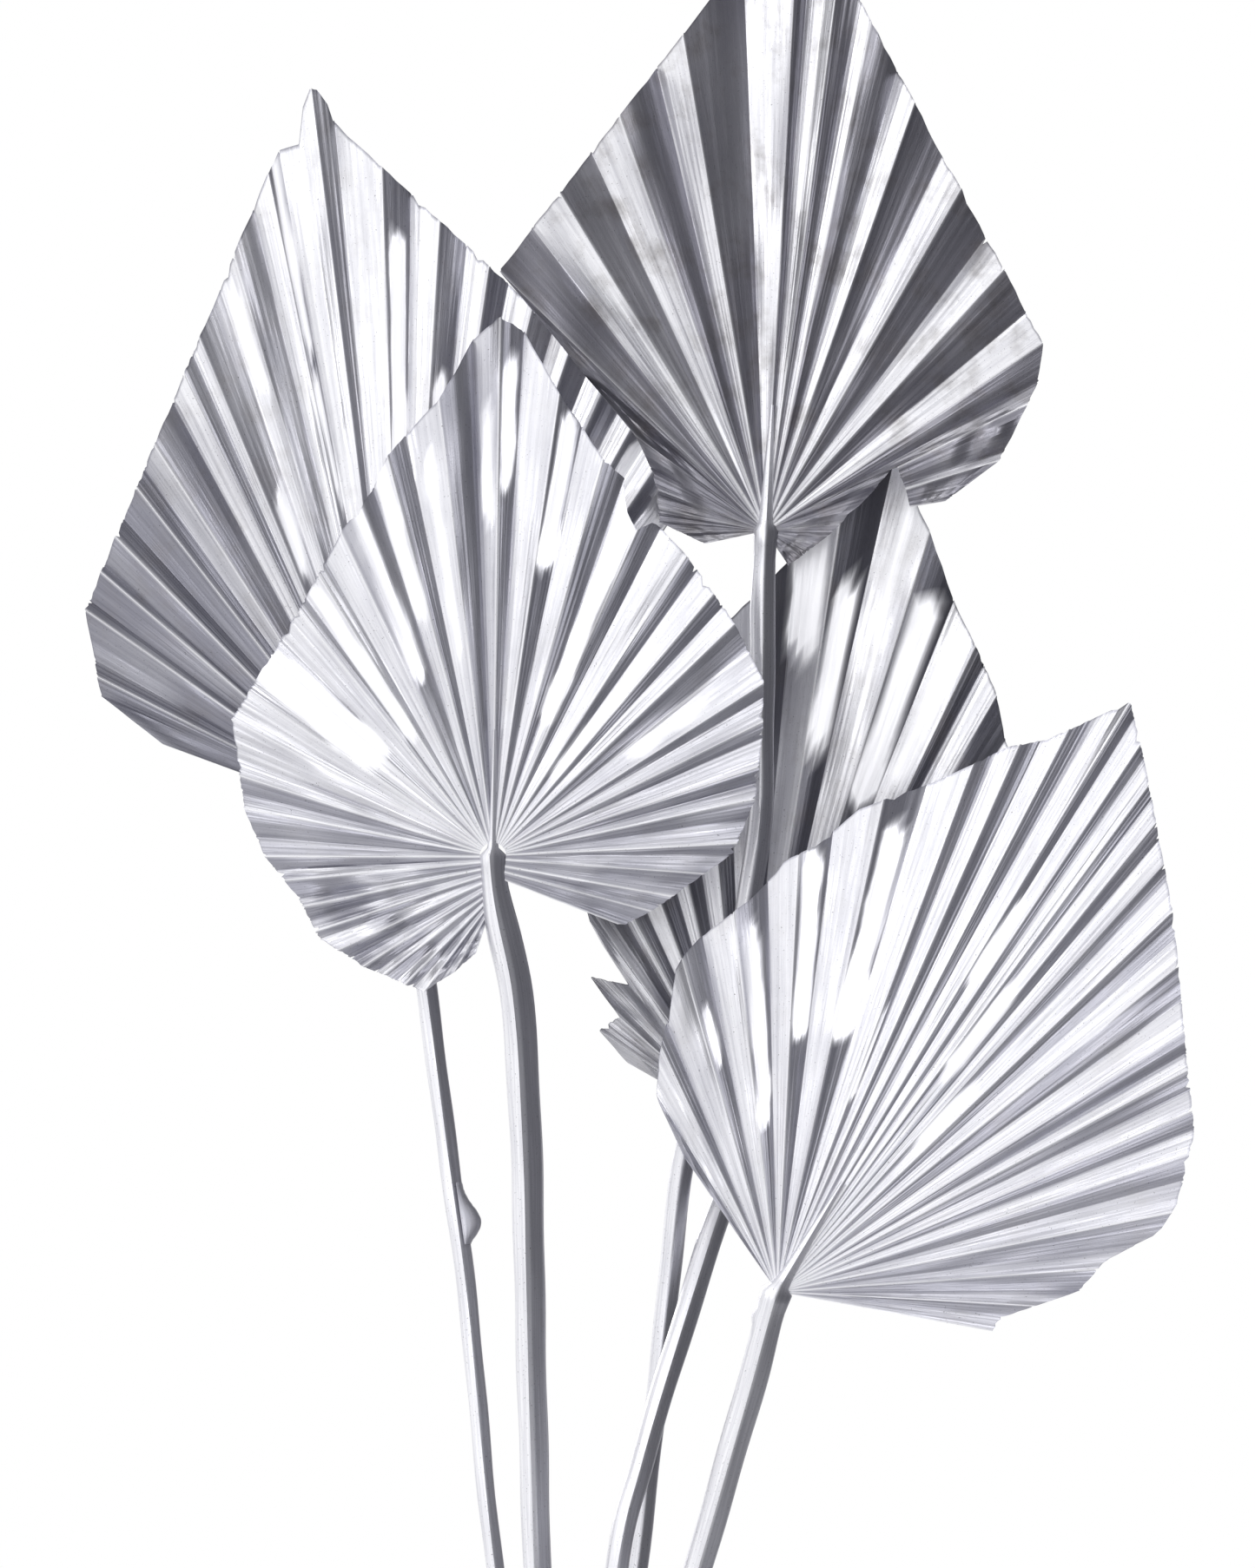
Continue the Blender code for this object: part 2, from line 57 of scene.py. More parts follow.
# Columns of points on one face of a pleat: part of its width, and bead widths more
FACE_COLUMNS: Pairs = ((0, 0), (0, 1), (0, 2.6), (0.27, 0), (0.5, 0), (0.73, 0), (1, -2.6), (1, -1))
LAST_ROW = 0.993             # the row before the margin, whose very edge takes the full painted shade
LIGHT_LEFT, LIGHT_UP = 0.87, 0.50   # way that the light comes from, for the painted shade
SHADED_SIDE = 0.7               # how much painted shade the side of a stem away from the light gets


class Side(Enum):
    """Which face of a thin sheet a skin of points belongs to."""

    FRONT = -1
    BACK = 1


class Slot(Enum):
    """Material slots of the record."""

    LEAF = "silver_leaf"
    STEM = "silver_stem"
    TWINE = "jute_twine"


def linear(code: str) -> tuple[float, float, float, float]:
    """Turn an sRGB hex colour into linear RGBA.

    Args:
        code: Colour as "#rrggbb".

    Returns:
        Linear red, green, blue and an alpha of 1.
    """
    parts = [int(code[k:k + 2], 16) / 255 for k in (1, 3, 5)]
    return (*(p / 12.92 if p <= 0.04045 else ((p + 0.055) / 1.055) ** 2.4 for p in parts), 1.0)


def add_node(tree: bpy.types.NodeTree, kind: str, settings: dict[Any, Any] | None = None,
             links: dict[Any, bpy.types.NodeSocket] | None = None) -> bpy.types.Node:
    """Add a shader node with its settings and links.

    Args:
        tree: Node tree that gets the node.
        kind: Node type without its ShaderNode prefix.
        settings: Values by attribute name, or by input name or number. The
            key "ramp" takes (position, hex colour) stops.
        links: Output sockets by the name or number of the input they feed.

    Returns:
        The new node.
    """
    node = tree.nodes.new(f"ShaderNode{kind}")
    for key, value in (settings or {}).items():
        if key == "ramp":
            stops = node.color_ramp.elements
            while len(stops) < len(value):
                stops.new(0.5)
            for stop, (place, colour) in zip(stops, value):
                stop.position, stop.color = place, linear(colour)
        elif isinstance(key, str) and hasattr(node, key):
            setattr(node, key, value)
        else:
            node.inputs[key].default_value = value
    for key, source in (links or {}).items():
        tree.links.new(source, node.inputs[key])
    return node


def new_material(name: str) -> tuple[bpy.types.Material, bpy.types.NodeTree, bpy.types.Node]:
    """Make an empty node material.

    Args:
        name: Name of the material.

    Returns:
        The material, its node tree and its Principled shader.
    """
    made = bpy.data.materials.new(name)
    made.use_nodes = True
    tree = made.node_tree
    return made, tree, tree.nodes["Principled BSDF"]


def along_grain(tree: bpy.types.NodeTree, wide_mm: float, run_mm: float,
                settings: dict[str, float]) -> bpy.types.NodeSocket:
    """Draw a noise that is stretched along a mesh's grain.

    Args:
        tree: Node tree that gets the nodes.
        wide_mm: Size of the pattern across the grain.
        run_mm: Size of it along the grain.
        settings: Further settings of the noise.

    Returns:
        Socket with the noise.
    """
    grain = add_node(tree, "UVMap", {"uv_map": "grain"}).outputs["UV"]
    scale = (1 / (wide_mm * MM), 1 / (run_mm * MM), 0.0)
    place = add_node(tree, "VectorMath", {"operation": "MULTIPLY", 1: scale}, {0: grain}).outputs[0]
    return add_node(tree, "TexNoise", {"noise_dimensions": "2D", "Scale": 1.0, **settings},
                    {"Vector": place}).outputs[0]


def wobble(seed: int, cells: tuple[int, int], u: np.ndarray, v: np.ndarray) -> np.ndarray:
    """Read a smooth seeded random field.

    Args:
        seed: Seed of the field.
        cells: Number of random values across and along.
        u: Place across, 0 to 1.
        v: Place along, 0 to 1.

    Returns:
        Values of -1 to 1.
    """
    grid = np.random.default_rng(seed).uniform(-1.0, 1.0, (cells[0] + 2, cells[1] + 2))
    x, y = np.clip(u, 0, 1) * cells[0], np.clip(v, 0, 1) * cells[1]
    i, j = x.astype(int), y.astype(int)
    s, t = x - i, y - j
    s, t = s * s * (3 - 2 * s), t * t * (3 - 2 * t)
    low = grid[i, j] * (1 - s) + grid[i + 1, j] * s
    high = grid[i, j + 1] * (1 - s) + grid[i + 1, j + 1] * s
    return low * (1 - t) + high * t


def at_angle(values: Pairs, angle: np.ndarray) -> np.ndarray:
    """Value at an angle, between given (angle, value) pairs."""
    return np.interp(angle, *zip(*values))


def soft_step(low: float, high: float, value: np.ndarray) -> np.ndarray:
    """Smooth step from 0 at low to 1 at high."""
    part = np.clip((value - low) / (high - low), 0.0, 1.0)
    return part * part * (3 - 2 * part)


@dataclass
class Skin:
    """Points, faces and point marks of a mesh while it is being built."""

    points: list[np.ndarray]
    faces: list[tuple[int, ...]]
    marks: list[np.ndarray]
    grain: list[np.ndarray]

    @classmethod
    def empty(cls) -> "Skin":
        """A skin with nothing on it."""
        return cls([], [], [], [])

    def size(self) -> int:
        """Number of points so far."""
        return sum(len(block) for block in self.points)

    def add(self, points: np.ndarray, marks: np.ndarray, grain: np.ndarray) -> np.ndarray:
        """Add a grid of points.

        Args:
            points: Places, as rows of a grid with three numbers each.
            marks: Four mark values for each point.
            grain: Place of each point across and along the grain.

        Returns:
            The numbers of the points, in the grid's shape.
        """
        first, shape = self.size(), points.shape[:-1]
        self.points.append(points.reshape(-1, 3))
        self.marks.append(marks.reshape(-1, 4))
        self.grain.append(grain.reshape(-1, 2))
        return np.arange(first, first + int(np.prod(shape))).reshape(shape)

    def grid(self, ids: np.ndarray, flip: bool = False, closed: bool = False) -> None:
        """Skin a grid of point numbers with quads.

        Args:
            ids: Point numbers, columns by rows.
            flip: Turn the faces over.
            closed: Join the last column to the first.
        """
        if closed:
            ids = np.vstack((ids, ids[:1]))
        a, b, c, d = ids[:-1, :-1], ids[1:, :-1], ids[1:, 1:], ids[:-1, 1:]
        quads = np.stack((d, c, b, a) if flip else (a, b, c, d), axis=-1).reshape(-1, 4)
        self.faces.extend(tuple(int(n) for n in quad) for quad in quads)

    def tube(self, ids: np.ndarray) -> None:
        """Skin a tube and close both of its ends.

        Args:
            ids: Point numbers, rings by sides.
        """
        self.grid(ids.T, closed=True)
        self.faces.append(tuple(int(n) for n in ids[0][::-1]))
        self.faces.append(tuple(int(n) for n in ids[-1]))

    def piece(self, name: str, finish: bpy.types.Material, crease: float) -> bpy.types.Object:
        """Turn the skin into an object in the scene.

        Args:
            name: Name of the piece.
            finish: Its material.
            crease: Edges that bend more than this many degrees stay sharp.

        Returns:
            The new object.
        """
        mesh = bpy.data.meshes.new(name)
        mesh.from_pydata(np.vstack(self.points).tolist(), [], self.faces)
        marks = mesh.color_attributes.new("marks", "FLOAT_COLOR", "POINT")
        marks.data.foreach_set("color", np.vstack(self.marks).ravel())
        corners = np.empty(len(mesh.loops), dtype=np.int32)
        mesh.loops.foreach_get("vertex_index", corners)
        grain = mesh.uv_layers.new(name="grain")
        grain.data.foreach_set("uv", np.vstack(self.grain)[corners].ravel())
        mesh.materials.append(finish)
        mesh.shade_smooth()
        mesh.set_sharp_from_angle(angle=math.radians(crease))
        mesh.validate()
        made = bpy.data.objects.new(name, mesh)
        bpy.context.scene.collection.objects.link(made)
        return made


def hand_over(piece: bpy.types.Object, body: str, slot: Slot, *nodes: str) -> None:
    """Let a piece ride on its body in place of CAD nodes, and report it.

    Args:
        piece: The finished piece.
        body: CAD body that it moves with.
        slot: Slot of the record, not used.
        nodes: CAD nodes that it stands for.
    """
    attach(piece, body)
    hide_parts(*nodes)
    LOG.info("%s rides on %s for %s, %d faces", piece.name, body, ", ".join(nodes),
             len(piece.data.polygons))


@dataclass(frozen=True)
class SilverSpray:
    """Aluminium flake spray, as it lies on leaf and stem alike."""

    name: str
    light: str
    shade: str
    painted_shade: str                     # multiplied in as painted shade on faces turned from the light
    speck: str                   # flakes that stand on edge
    flake_mm: float
    rough: tuple[float, float] = (0.46, 0.32)    # between the fibres and on them
    rough_band: tuple[float, float] = (0.3, 0.7)
    coat_band: tuple[float, float] = (0.34, 0.66)   # noise with the darkest and the lightest paint
    speck_band: tuple[float, float] = (0.70, 0.78)  # noise where a flake starts and is full
    speck_cover: float = 0.75
    metal: tuple[float, float] = (0.76, 0.20)    # of the film, and where it is covered or missing

    def coat(self, tree: bpy.types.NodeTree, tone: bpy.types.NodeSocket,
             shaded: bpy.types.NodeSocket) -> bpy.types.NodeSocket:
        """Lay the paint, with its painted shade.

        Args:
            tree: Node tree that gets the nodes.
            tone: Noise that varies the paint.
            shaded: How much painted shade the surface takes, 0 to 1.

        Returns:
            Socket with the colour.
        """
        dark, pale = self.coat_band
        spread = add_node(tree, "MapRange", {"From Min": dark, "From Max": pale},
                          {"Value": tone}).outputs[0]
        full = add_node(tree, "Mix", {"data_type": "RGBA", 6: linear(self.shade), 7: linear(self.light)},
                        {0: spread}).outputs[2]
        # Painted shade: the paint multiplied by the painted shade colour
        darkened = add_node(tree, "Mix", {"data_type": "RGBA", "blend_type": "MULTIPLY", 0: 1.0,
                                      7: linear(self.painted_shade)}, {6: full}).outputs[2]
        return add_node(tree, "Mix", {"data_type": "RGBA"}, {0: shaded, 6: full, 7: darkened}).outputs[2]

    def specked(self, tree: bpy.types.NodeTree, coat: bpy.types.NodeSocket,
                flake: bpy.types.NodeSocket) -> bpy.types.NodeSocket:
        """Scatter dark flakes over the paint.

        Args:
            tree: Node tree that gets the nodes.
            coat: Colour of the paint.
            flake: Noise of the flakes.

        Returns:
            Socket with the colour.
        """
        start, full = self.speck_band
        grit = add_node(tree, "MapRange", {"From Min": start, "From Max": full,
                                           "To Max": self.speck_cover}, {"Value": flake}).outputs[0]
        return add_node(tree, "Mix", {"data_type": "RGBA", 7: linear(self.speck)},
                        {0: grit, 6: coat}).outputs[2]

    def gloss(self, tree: bpy.types.NodeTree, shader: bpy.types.Node, streak: bpy.types.NodeSocket,
              bare: bpy.types.NodeSocket) -> None:
        """Make the film smoother on the fibres and less metallic where it is bare.

        Args:
            tree: Node tree that gets the nodes.
            shader: Principled shader of the material.
            streak: Noise of the fibres.
            bare: Where the flake is covered or missing, 0 to 1.
        """
        low, high = self.rough_band
        rough = add_node(tree, "MapRange", {"From Min": low, "From Max": high, "To Min": self.rough[0],
                                            "To Max": self.rough[1]}, {"Value": streak}).outputs[0]
        tree.links.new(rough, shader.inputs["Roughness"])
        amount = add_node(tree, "MapRange", {"To Min": self.metal[0], "To Max": self.metal[1]},
                        {"Value": bare}).outputs[0]
        tree.links.new(amount, shader.inputs["Metallic"])


# Silver paint sprayed on dried leaf: aluminium flake in a thin clear film. The
# flake gives a bright, slightly blurred gleam that flips from white to dark
# grey with the tilt of a pleat, fibres show through as fine long streaks, and
# where the film is thin the warm dry leaf dulls it. The veins are painted pale
# and matt, as thick paint and as a painted highlight along the ridges; faces
# turned from the light get a painted shade; and soft white patches in the
# pleats are painted highlights, with their shading normal turned to the light
@dataclass(frozen=True)
class SprayedLeaf(SilverSpray):
    """Aluminium flake spray on a dried palm leaf."""

    speck: str = "#4a4a4e"
    flake_mm: float = 0.35       # real flake is 0.03, drawn coarser to show
    bare: str = "#6f675f"
    bareness: float = 0.25
    bare_band: tuple[float, float] = (0.50, 0.74)   # patch noise where the film thins and is thinnest
    # Near white on the veins, thick paint and a painted highlight along the ridges
    vein_highlight: str = "#f6f6fa"
    vein_highlight_cover: float = 0.9
    # Painted highlight patches: their white, and the shading normal they take, turned to the bright side of
    # the room
    painted_highlight: str = "#f4f4f8"
    highlight_facing: tuple[float, float, float] = (-0.25, -0.95, 0.15)
    fibre_mm: float = 0.45       # real fibres lie 0.15 apart, drawn coarser to show
    streak_mm: float = 26.0
    vein_mm: float = 1.2         # side veins between two folds
    vein_run_mm: float = 150.0
    patch_mm: float = 9.0
    relief_mm: float = 0.3
    relief: tuple[float, float] = (0.30, 0.06)   # strength on a pleat and in a painted highlight patch
    flake_relief: float = 0.25   # heights against that of the fibres
    vein_relief: float = 4.0

    def build(self) -> bpy.types.Material:
        """Make the material.

        Returns:
            A node material that reads the marks and grain of a leaf mesh.
        """
        made, tree, shader = new_material(self.name)
        marks = add_node(tree, "Attribute", {"attribute_name": "marks"}).outputs["Color"]
        vein_highlight, shaded, highlight = add_node(tree, "SeparateColor", links={"Color": marks}).outputs
        place = add_node(tree, "TexCoord").outputs["Object"]
        streak = along_grain(tree, self.fibre_mm, self.streak_mm, {"Detail": 3.0, "Roughness": 0.6})
        veins = along_grain(tree, self.vein_mm, self.vein_run_mm, {"Detail": 1.0})
        patch = add_node(tree, "TexNoise", {"Scale": 1 / (self.patch_mm * MM), "Detail": 4.0,
                         "Roughness": 0.62}, {"Vector": place}).outputs[0]
        flake = add_node(tree, "TexNoise", {"Scale": 1 / (self.flake_mm * MM), "Detail": 1.0},
                         {"Vector": place}).outputs[0]
        broad = add_node(tree, "Mix", {0: 0.5}, {2: patch, 3: veins}).outputs[0]
        tone = add_node(tree, "Mix", {0: 0.5}, {2: broad, 3: streak}).outputs[0]
        coat = self.coat(tree, tone, shaded)
        start, full = self.bare_band
        darkened = add_node(tree, "MapRange", {"From Min": start, "From Max": full, "To Max": self.bareness},
                        {"Value": patch}).outputs[0]
        worn = add_node(tree, "Mix", {"data_type": "RGBA", 7: linear(self.bare)},
                        {0: darkened, 6: coat}).outputs[2]
        # Veins painted near white: thick paint and a painted highlight along the ridges
        line = add_node(tree, "Math", {"operation": "MULTIPLY", 1: self.vein_highlight_cover}, {0: vein_highlight}).outputs[0]
        lined = add_node(tree, "Mix", {"data_type": "RGBA", 7: linear(self.vein_highlight)},
                         {0: line, 6: worn}).outputs[2]
        specked = self.specked(tree, lined, flake)
        # Soft white patches in the pleats, a painted highlight
        highlight_coloured = add_node(tree, "Mix", {"data_type": "RGBA", 7: linear(self.painted_highlight)},
                            {0: highlight, 6: specked}).outputs[2]
        tree.links.new(highlight_coloured, shader.inputs["Base Color"])
        self.gloss(tree, shader, streak, vein_highlight)
        # Shading normal turned to the light in the painted highlight patches
        facing = add_node(tree, "NewGeometry").outputs["Normal"]
        highlit = add_node(tree, "Mix", {"data_type": "VECTOR", 5: self.highlight_facing},
                          {0: highlight, 4: facing}).outputs[1]
        turned = add_node(tree, "VectorMath", {"operation": "NORMALIZE"}, {0: highlit}).outputs[0]
        grainy = add_node(tree, "Math", {"operation": "MULTIPLY_ADD", 1: self.flake_relief},
                          {0: flake, 2: streak}).outputs[0]
        height = add_node(tree, "Math", {"operation": "MULTIPLY_ADD", 1: self.vein_relief},
                          {0: veins, 2: grainy}).outputs[0]
        strength = add_node(tree, "MapRange", {"To Min": self.relief[0], "To Max": self.relief[1]},
                            {"Value": highlight}).outputs[0]
        bump = add_node(tree, "Bump", {"Distance": self.relief_mm * MM},
                        {"Strength": strength, "Height": height, "Normal": turned})
        tree.links.new(bump.outputs[0], shader.inputs["Normal"])
        return made


# The same spray on a woody stem: the film follows long fibre ridges in lower
# relief than on the leaf, and is missing where the cut end shows the pith;
# its side away from the light gets a painted shade
@dataclass(frozen=True)
class SprayedStem(SilverSpray):
    """Aluminium flake spray on a dried palm stem."""

    light: str = "#f2f2f6"
    shade: str = "#d8d8de"
    painted_shade: str = "#9c9ca4"
    speck: str = "#545458"
    flake_mm: float = 0.4        # real flake is 0.03, drawn coarser to show
    rough: tuple[float, float] = (0.48, 0.32)
    coat_band: tuple[float, float] = (0.32, 0.68)
    speck_band: tuple[float, float] = (0.69, 0.76)
    speck_cover: float = 0.7
    metal: tuple[float, float] = (0.82, 0.0)
    pith: str = "#b89c74"
    fibre_mm: float = 0.5        # real fibres are 0.2 wide, drawn coarser to show
    streak_mm: float = 30.0
    relief_mm: float = 0.3
    relief: float = 0.16
    flake_relief: float = 0.3    # height against that of the fibres

    def build(self) -> bpy.types.Material:
        """Make the material.

        Returns:
            A node material that reads the marks and grain of a stalk mesh.
        """
        made, tree, shader = new_material(self.name)
        marks = add_node(tree, "Attribute", {"attribute_name": "marks"}).outputs["Color"]
        _, shaded, cut = add_node(tree, "SeparateColor", links={"Color": marks}).outputs
        place = add_node(tree, "TexCoord").outputs["Object"]
        streak = along_grain(tree, self.fibre_mm, self.streak_mm, {"Detail": 3.0, "Roughness": 0.6})
        flake = add_node(tree, "TexNoise", {"Scale": 1 / (self.flake_mm * MM), "Detail": 1.0},
                         {"Vector": place}).outputs[0]
        # The paint with a painted shade on the stem's side away from the light
        coat = self.coat(tree, streak, shaded)
        specked = self.specked(tree, coat, flake)
        ended = add_node(tree, "Mix", {"data_type": "RGBA", 7: linear(self.pith)},
                         {0: cut, 6: specked}).outputs[2]
        tree.links.new(ended, shader.inputs["Base Color"])
        self.gloss(tree, shader, streak, cut)
        height = add_node(tree, "Math", {"operation": "MULTIPLY_ADD", 1: self.flake_relief},
                          {0: flake, 2: streak}).outputs[0]
        bump = add_node(tree, "Bump", {"Strength": self.relief, "Distance": self.relief_mm * MM},
                        {"Height": height})
        tree.links.new(bump.outputs[0], shader.inputs["Normal"])
        return made


# Jute yarn spun from long bast fibres: matt and hairy, golden brown with paler
# and darker fibres running round each strand
@dataclass(frozen=True)
class SpunJute:
    """Natural jute, spun and laid up into twine."""

    name: str
    light: str = "#c6a370"
    shade: str = "#7d5c36"
    fibre_mm: float = 0.12
    streak_mm: float = 3.0
    rough: float = 0.85
    fuzz: float = 0.25
    relief_mm: float = 0.2
    relief: float = 0.7

    def build(self) -> bpy.types.Material:
        """Make the material.

        Returns:
            A node material that reads the grain of a strand mesh.
        """
        made, tree, shader = new_material(self.name)
        streak = along_grain(tree, self.fibre_mm, self.streak_mm, {"Detail": 3.0})
        tone = add_node(tree, "ValToRGB", {"ramp": ((0.30, self.shade), (0.70, self.light))}, {0: streak})
        tree.links.new(tone.outputs["Color"], shader.inputs["Base Color"])
        shader.inputs["Roughness"].default_value = self.rough
        shader.inputs["Sheen Weight"].default_value = self.fuzz
        bump = add_node(tree, "Bump", {"Strength": self.relief, "Distance": self.relief_mm * MM},
                        {"Height": streak})
        tree.links.new(bump.outputs[0], shader.inputs["Normal"])
        return made


@dataclass(frozen=True)
class HighlightPatch:
    """A long soft white patch inside a pleat, a painted highlight whose shading normal is turned to the
    light.
    """

    angle: float                 # degrees from the leaf's axis
    start: float                 # from the base
    end: float
    width: float = 0.0034
    over: bool = False           # spreads over the folds beside it


@dataclass
class PleatedFan:
    """The pleated blade of one leaf, or a torn piece of it.

    The margin runs from the left end over the tip to the right end, as
    (across, along) from the base. Angles are in degrees from the leaf's axis.
    At given angles, the lit share is how much of a pleat's width its left-hand
    face takes, the slope share how much of the fold slope the pleats have, the
    painted shade how much darker their faces are painted, and the vein highlight
    share how much pale vein paint, which also stands for a painted highlight,
    lies on their ridges.
    """

    margin: Pairs
    left_pleats: int
    right_pleats: int
    rim: float                   # distance from the base where the folds start
    lit_share: Pairs
    seed: int
    cup: float = 0.0
    curl: float = 0.0
    ear_drop: float = 0.0
    ear_close: float = 0.0
    tear_angle: float = 180.0
    tear_start: float = 0.0
    crinkle_angle: float = -180.0    # pleats left of this are crumpled
    shade_angle: float = -200.0       # and left of this, faces not turned to the light get more painted shade
    roll_angle: float = 180.0        # ends of the pleats right of this roll up
    roll_start: float = 1.0
    highlight_patches: tuple[HighlightPatch, ...] = ()
    slope_share: Pairs = ((0.0, 1.0),)
    painted_shade_by_angle: Pairs = ((0.0, 0.0),)
    vein_highlight_share: Pairs = ((0.0, 1.0),)
    spacing: Pairs = ()          # some folds' numbers from the axis, and their angles
    contrast: float = 0.62       # how much lighter the painted shade leaves a face turned to the light
    snap: bool = True            # folds run to the corners of the margin
    axis_ridge: bool = True      # the fold on the axis stands out to the front
    fold_slope: float = 26.0
    fold_stray: float = 0.07     # how far a valley strays, as part of its pleat's width
    fold_limit: float = 0.16     # least part of a pleat's width that a face keeps
    rise_range: tuple[float, float] = (0.72, 1.22)   # heights of single folds
    thickness: float = 0.00045
    bead: float = 0.00028        # half width of the vein on a ridge
    bead_limit: float = 0.085    # and its largest part of a face's width
    bead_height: float = 0.00014
    wave: float = 0.0004
    crumple: float = 3.0         # how much more the crumpled pleats wave
    belly: float = 0.14          # how far a face bulges, as part of its width
    belly_range: tuple[float, float] = (-0.4, 0.7)   # how much of that single faces have
    belly_wave: float = 0.9      # and how much it varies along a face
    nick: float = 0.00022        # usual depth of the nicks in the margin
    chip: float = 0.0009         # and of the few deep ones
    unchipped: float = 0.965     # part of the columns without a deep one
    root_shade: float = 0.4       # painted shade on the folds at the base
    film_stray: float = 0.16     # how far the paint differs from face to face
    film_patch: float = 0.2      # and along a face
    shade_depth: float = 0.75    # how much more painted shade faces get left of that angle
    shade_soft: float = 8.0     # degrees on each side in which that begins
    shade_turn: float = 0.35    # faces turned to the light more than this are spared it
    roll_radius: float = 0.0042
    roll_turn: float = 3.6       # how far round the roll goes, in radians
    roll_soft: float = 6.0       # degrees in which it begins
    highlight_room: float = 0.42      # largest half width of a painted highlight patch, as part of its face's width
    highlight_blunt: float = 0.6      # less than 1 draws its ends out
    highlight_ragged: float = 0.0005
    highlight_edge: tuple[float, float] = (-0.0006, 0.0010)   # how far inside it begins and is full
    highlight_cover: float = 0.9
    column_grain: float = 0.004  # width of a face in the grain
    rows: int = 34
    half: float = 0.0            # half width and length that the bow is taken over
    length: float = 0.0

    def bearing(self, point: tuple[float, float]) -> float:
        """Angle of a margin point from the axis, in radians."""
        return math.atan2(point[0], point[1])

    def folds(self) -> tuple[np.ndarray, np.ndarray, np.ndarray]:
        """Angles of the folds.

        Returns:
            The angles as spaced, with folds drawn to the margin's corners, the
            same with each valley shifted to give the lit share, and +1 for a
            ridge or -1 for a valley.
        """
        left, right = self.bearing(self.margin[0]), self.bearing(self.margin[-1])
        n_left, n_right = 2 * self.left_pleats, 2 * self.right_pleats
        marks = [(-n_left, left), (n_right, right)] + ([(0, 0.0)] if n_left else [])
        marks = sorted(marks + [(k, math.radians(angle)) for k, angle in self.spacing])
        spaced = list(np.interp(np.arange(-n_left, n_right + 1), *zip(*marks)))
        taken = {0, n_left, n_left + n_right}
        for corner in self.margin[1:-1] if self.snap else ():
            near = min(range(len(spaced)), key=lambda i: abs(spaced[i] - self.bearing(corner)))
            if near not in taken:
                spaced[near] = self.bearing(corner)
                taken.add(near)
        first = 1.0 if self.axis_ridge else -1.0
        sign = np.array([first if (k - n_left) % 2 == 0 else -first for k in range(len(spaced))])
        shifted = list(spaced)
        chance = np.random.default_rng(self.seed)
        for k in range(1, len(spaced) - 1):
            stray = chance.uniform(-self.fold_stray, self.fold_stray)
            if sign[k] < 0 and k not in taken:
                share = at_angle(self.lit_share, math.degrees(spaced[k])) + stray
                low, high = spaced[k - 1], spaced[k + 1]
                shifted[k] = high - (high - low) * min(max(share, self.fold_limit), 1 - self.fold_limit)
        return np.array(spaced), np.array(shifted), sign

    def reach(self, angle: float) -> np.ndarray:
        """Point of the margin that a fold at this angle runs to."""
        way = np.array((math.sin(angle), math.cos(angle)))
        for a, b in zip(self.margin, self.margin[1:]):
            if self.bearing(a) - 1e-9 <= angle <= self.bearing(b) + 1e-9:
                side = (b[0] - a[0], b[1] - a[1])
                return way * (a[0] * side[1] - a[1] * side[0]) / (way[0] * side[1] - way[1] * side[0])
        raise ValueError(f"no margin at {math.degrees(angle):.1f} degrees")

    def root(self, angle: float) -> np.ndarray:
        """Point where a fold leaves the stalk."""
        rim = self.tear_start if angle > math.radians(self.tear_angle) else self.rim
        if abs(angle) <= math.pi / 2 or not self.ear_drop:
            return np.array((rim * math.sin(angle), rim * math.cos(angle)))
        part = (abs(angle) - math.pi / 2) / (math.pi / 2)
        return np.array((math.copysign(rim - self.ear_close * part, angle), -self.ear_drop * part))

    def bow(self, across: np.ndarray, along: np.ndarray) -> np.ndarray:
        """How far the middle surface lies in front of the flat plane."""
        half = self.half or max(abs(point[0]) for point in self.margin)
        length = self.length or max(point[1] for point in self.margin)
        return self.cup * (across / half) ** 2 - self.curl * (np.maximum(along, 0.0) / length) ** 2

    def crest(self, along: float) -> float:
        """About how far the fold on the axis stands in front of the flat plane."""
        spaced = self.folds()[0]
        slope = math.tan(math.radians(self.fold_slope)) / 2
        height = along * abs(spaced[1] - spaced[0]) * slope * (1 if self.axis_ridge else -1)
        return height + float(self.bow(np.array(0.0), np.array(along)))

    def surface(self, lean: float) -> tuple[np.ndarray, np.ndarray, np.ndarray]:
        """Points of the middle surface, by columns and rows.

        Args:
            lean: How far the leaf leans to the right, in radians.

        Returns:
            Places as (across, lift, along), four marks for each point (vein
            highlight, painted shade, painted highlight patch, 1), and the place in the grain.
        """
        spaced, angles, sign = self.folds()
        degrees = np.degrees(angles)
        count = len(angles) - 1
        roots = np.array([self.root(angle) for angle in angles])
        ends = np.array([self.reach(angle) for angle in angles])
        face = np.append(np.repeat(np.arange(count), len(FACE_COLUMNS)), count - 1)
        fixed = np.append(np.tile([part for part, _ in FACE_COLUMNS], count), 1.0)[:, None]
        beads = np.append(np.tile([bead for _, bead in FACE_COLUMNS], count), 0.0)[:, None]
        row = np.append(np.linspace(0.0, LAST_ROW, self.rows), 1.0)[None, :]
        chance = np.random.default_rng(self.seed + 1)
        nick = np.abs(chance.normal(0.0, self.nick, len(face)))
        nick += self.chip * (chance.uniform(0, 1, len(face)) > self.unchipped)
        wide = np.linalg.norm(ends[face + 1] - ends[face], axis=1)[:, None]
        narrow = np.linalg.norm(roots[face + 1] - roots[face], axis=1)[:, None]
        width = np.maximum(narrow + (wide - narrow) * row, 1e-5)
        t = fixed + beads * np.minimum(self.bead / width, self.bead_limit)
        tip = ends[face][:, None] * (1 - t[..., None]) + ends[face + 1][:, None] * t[..., None]
        tip *= self.stretch(tip[:, -1])[:, None, None]
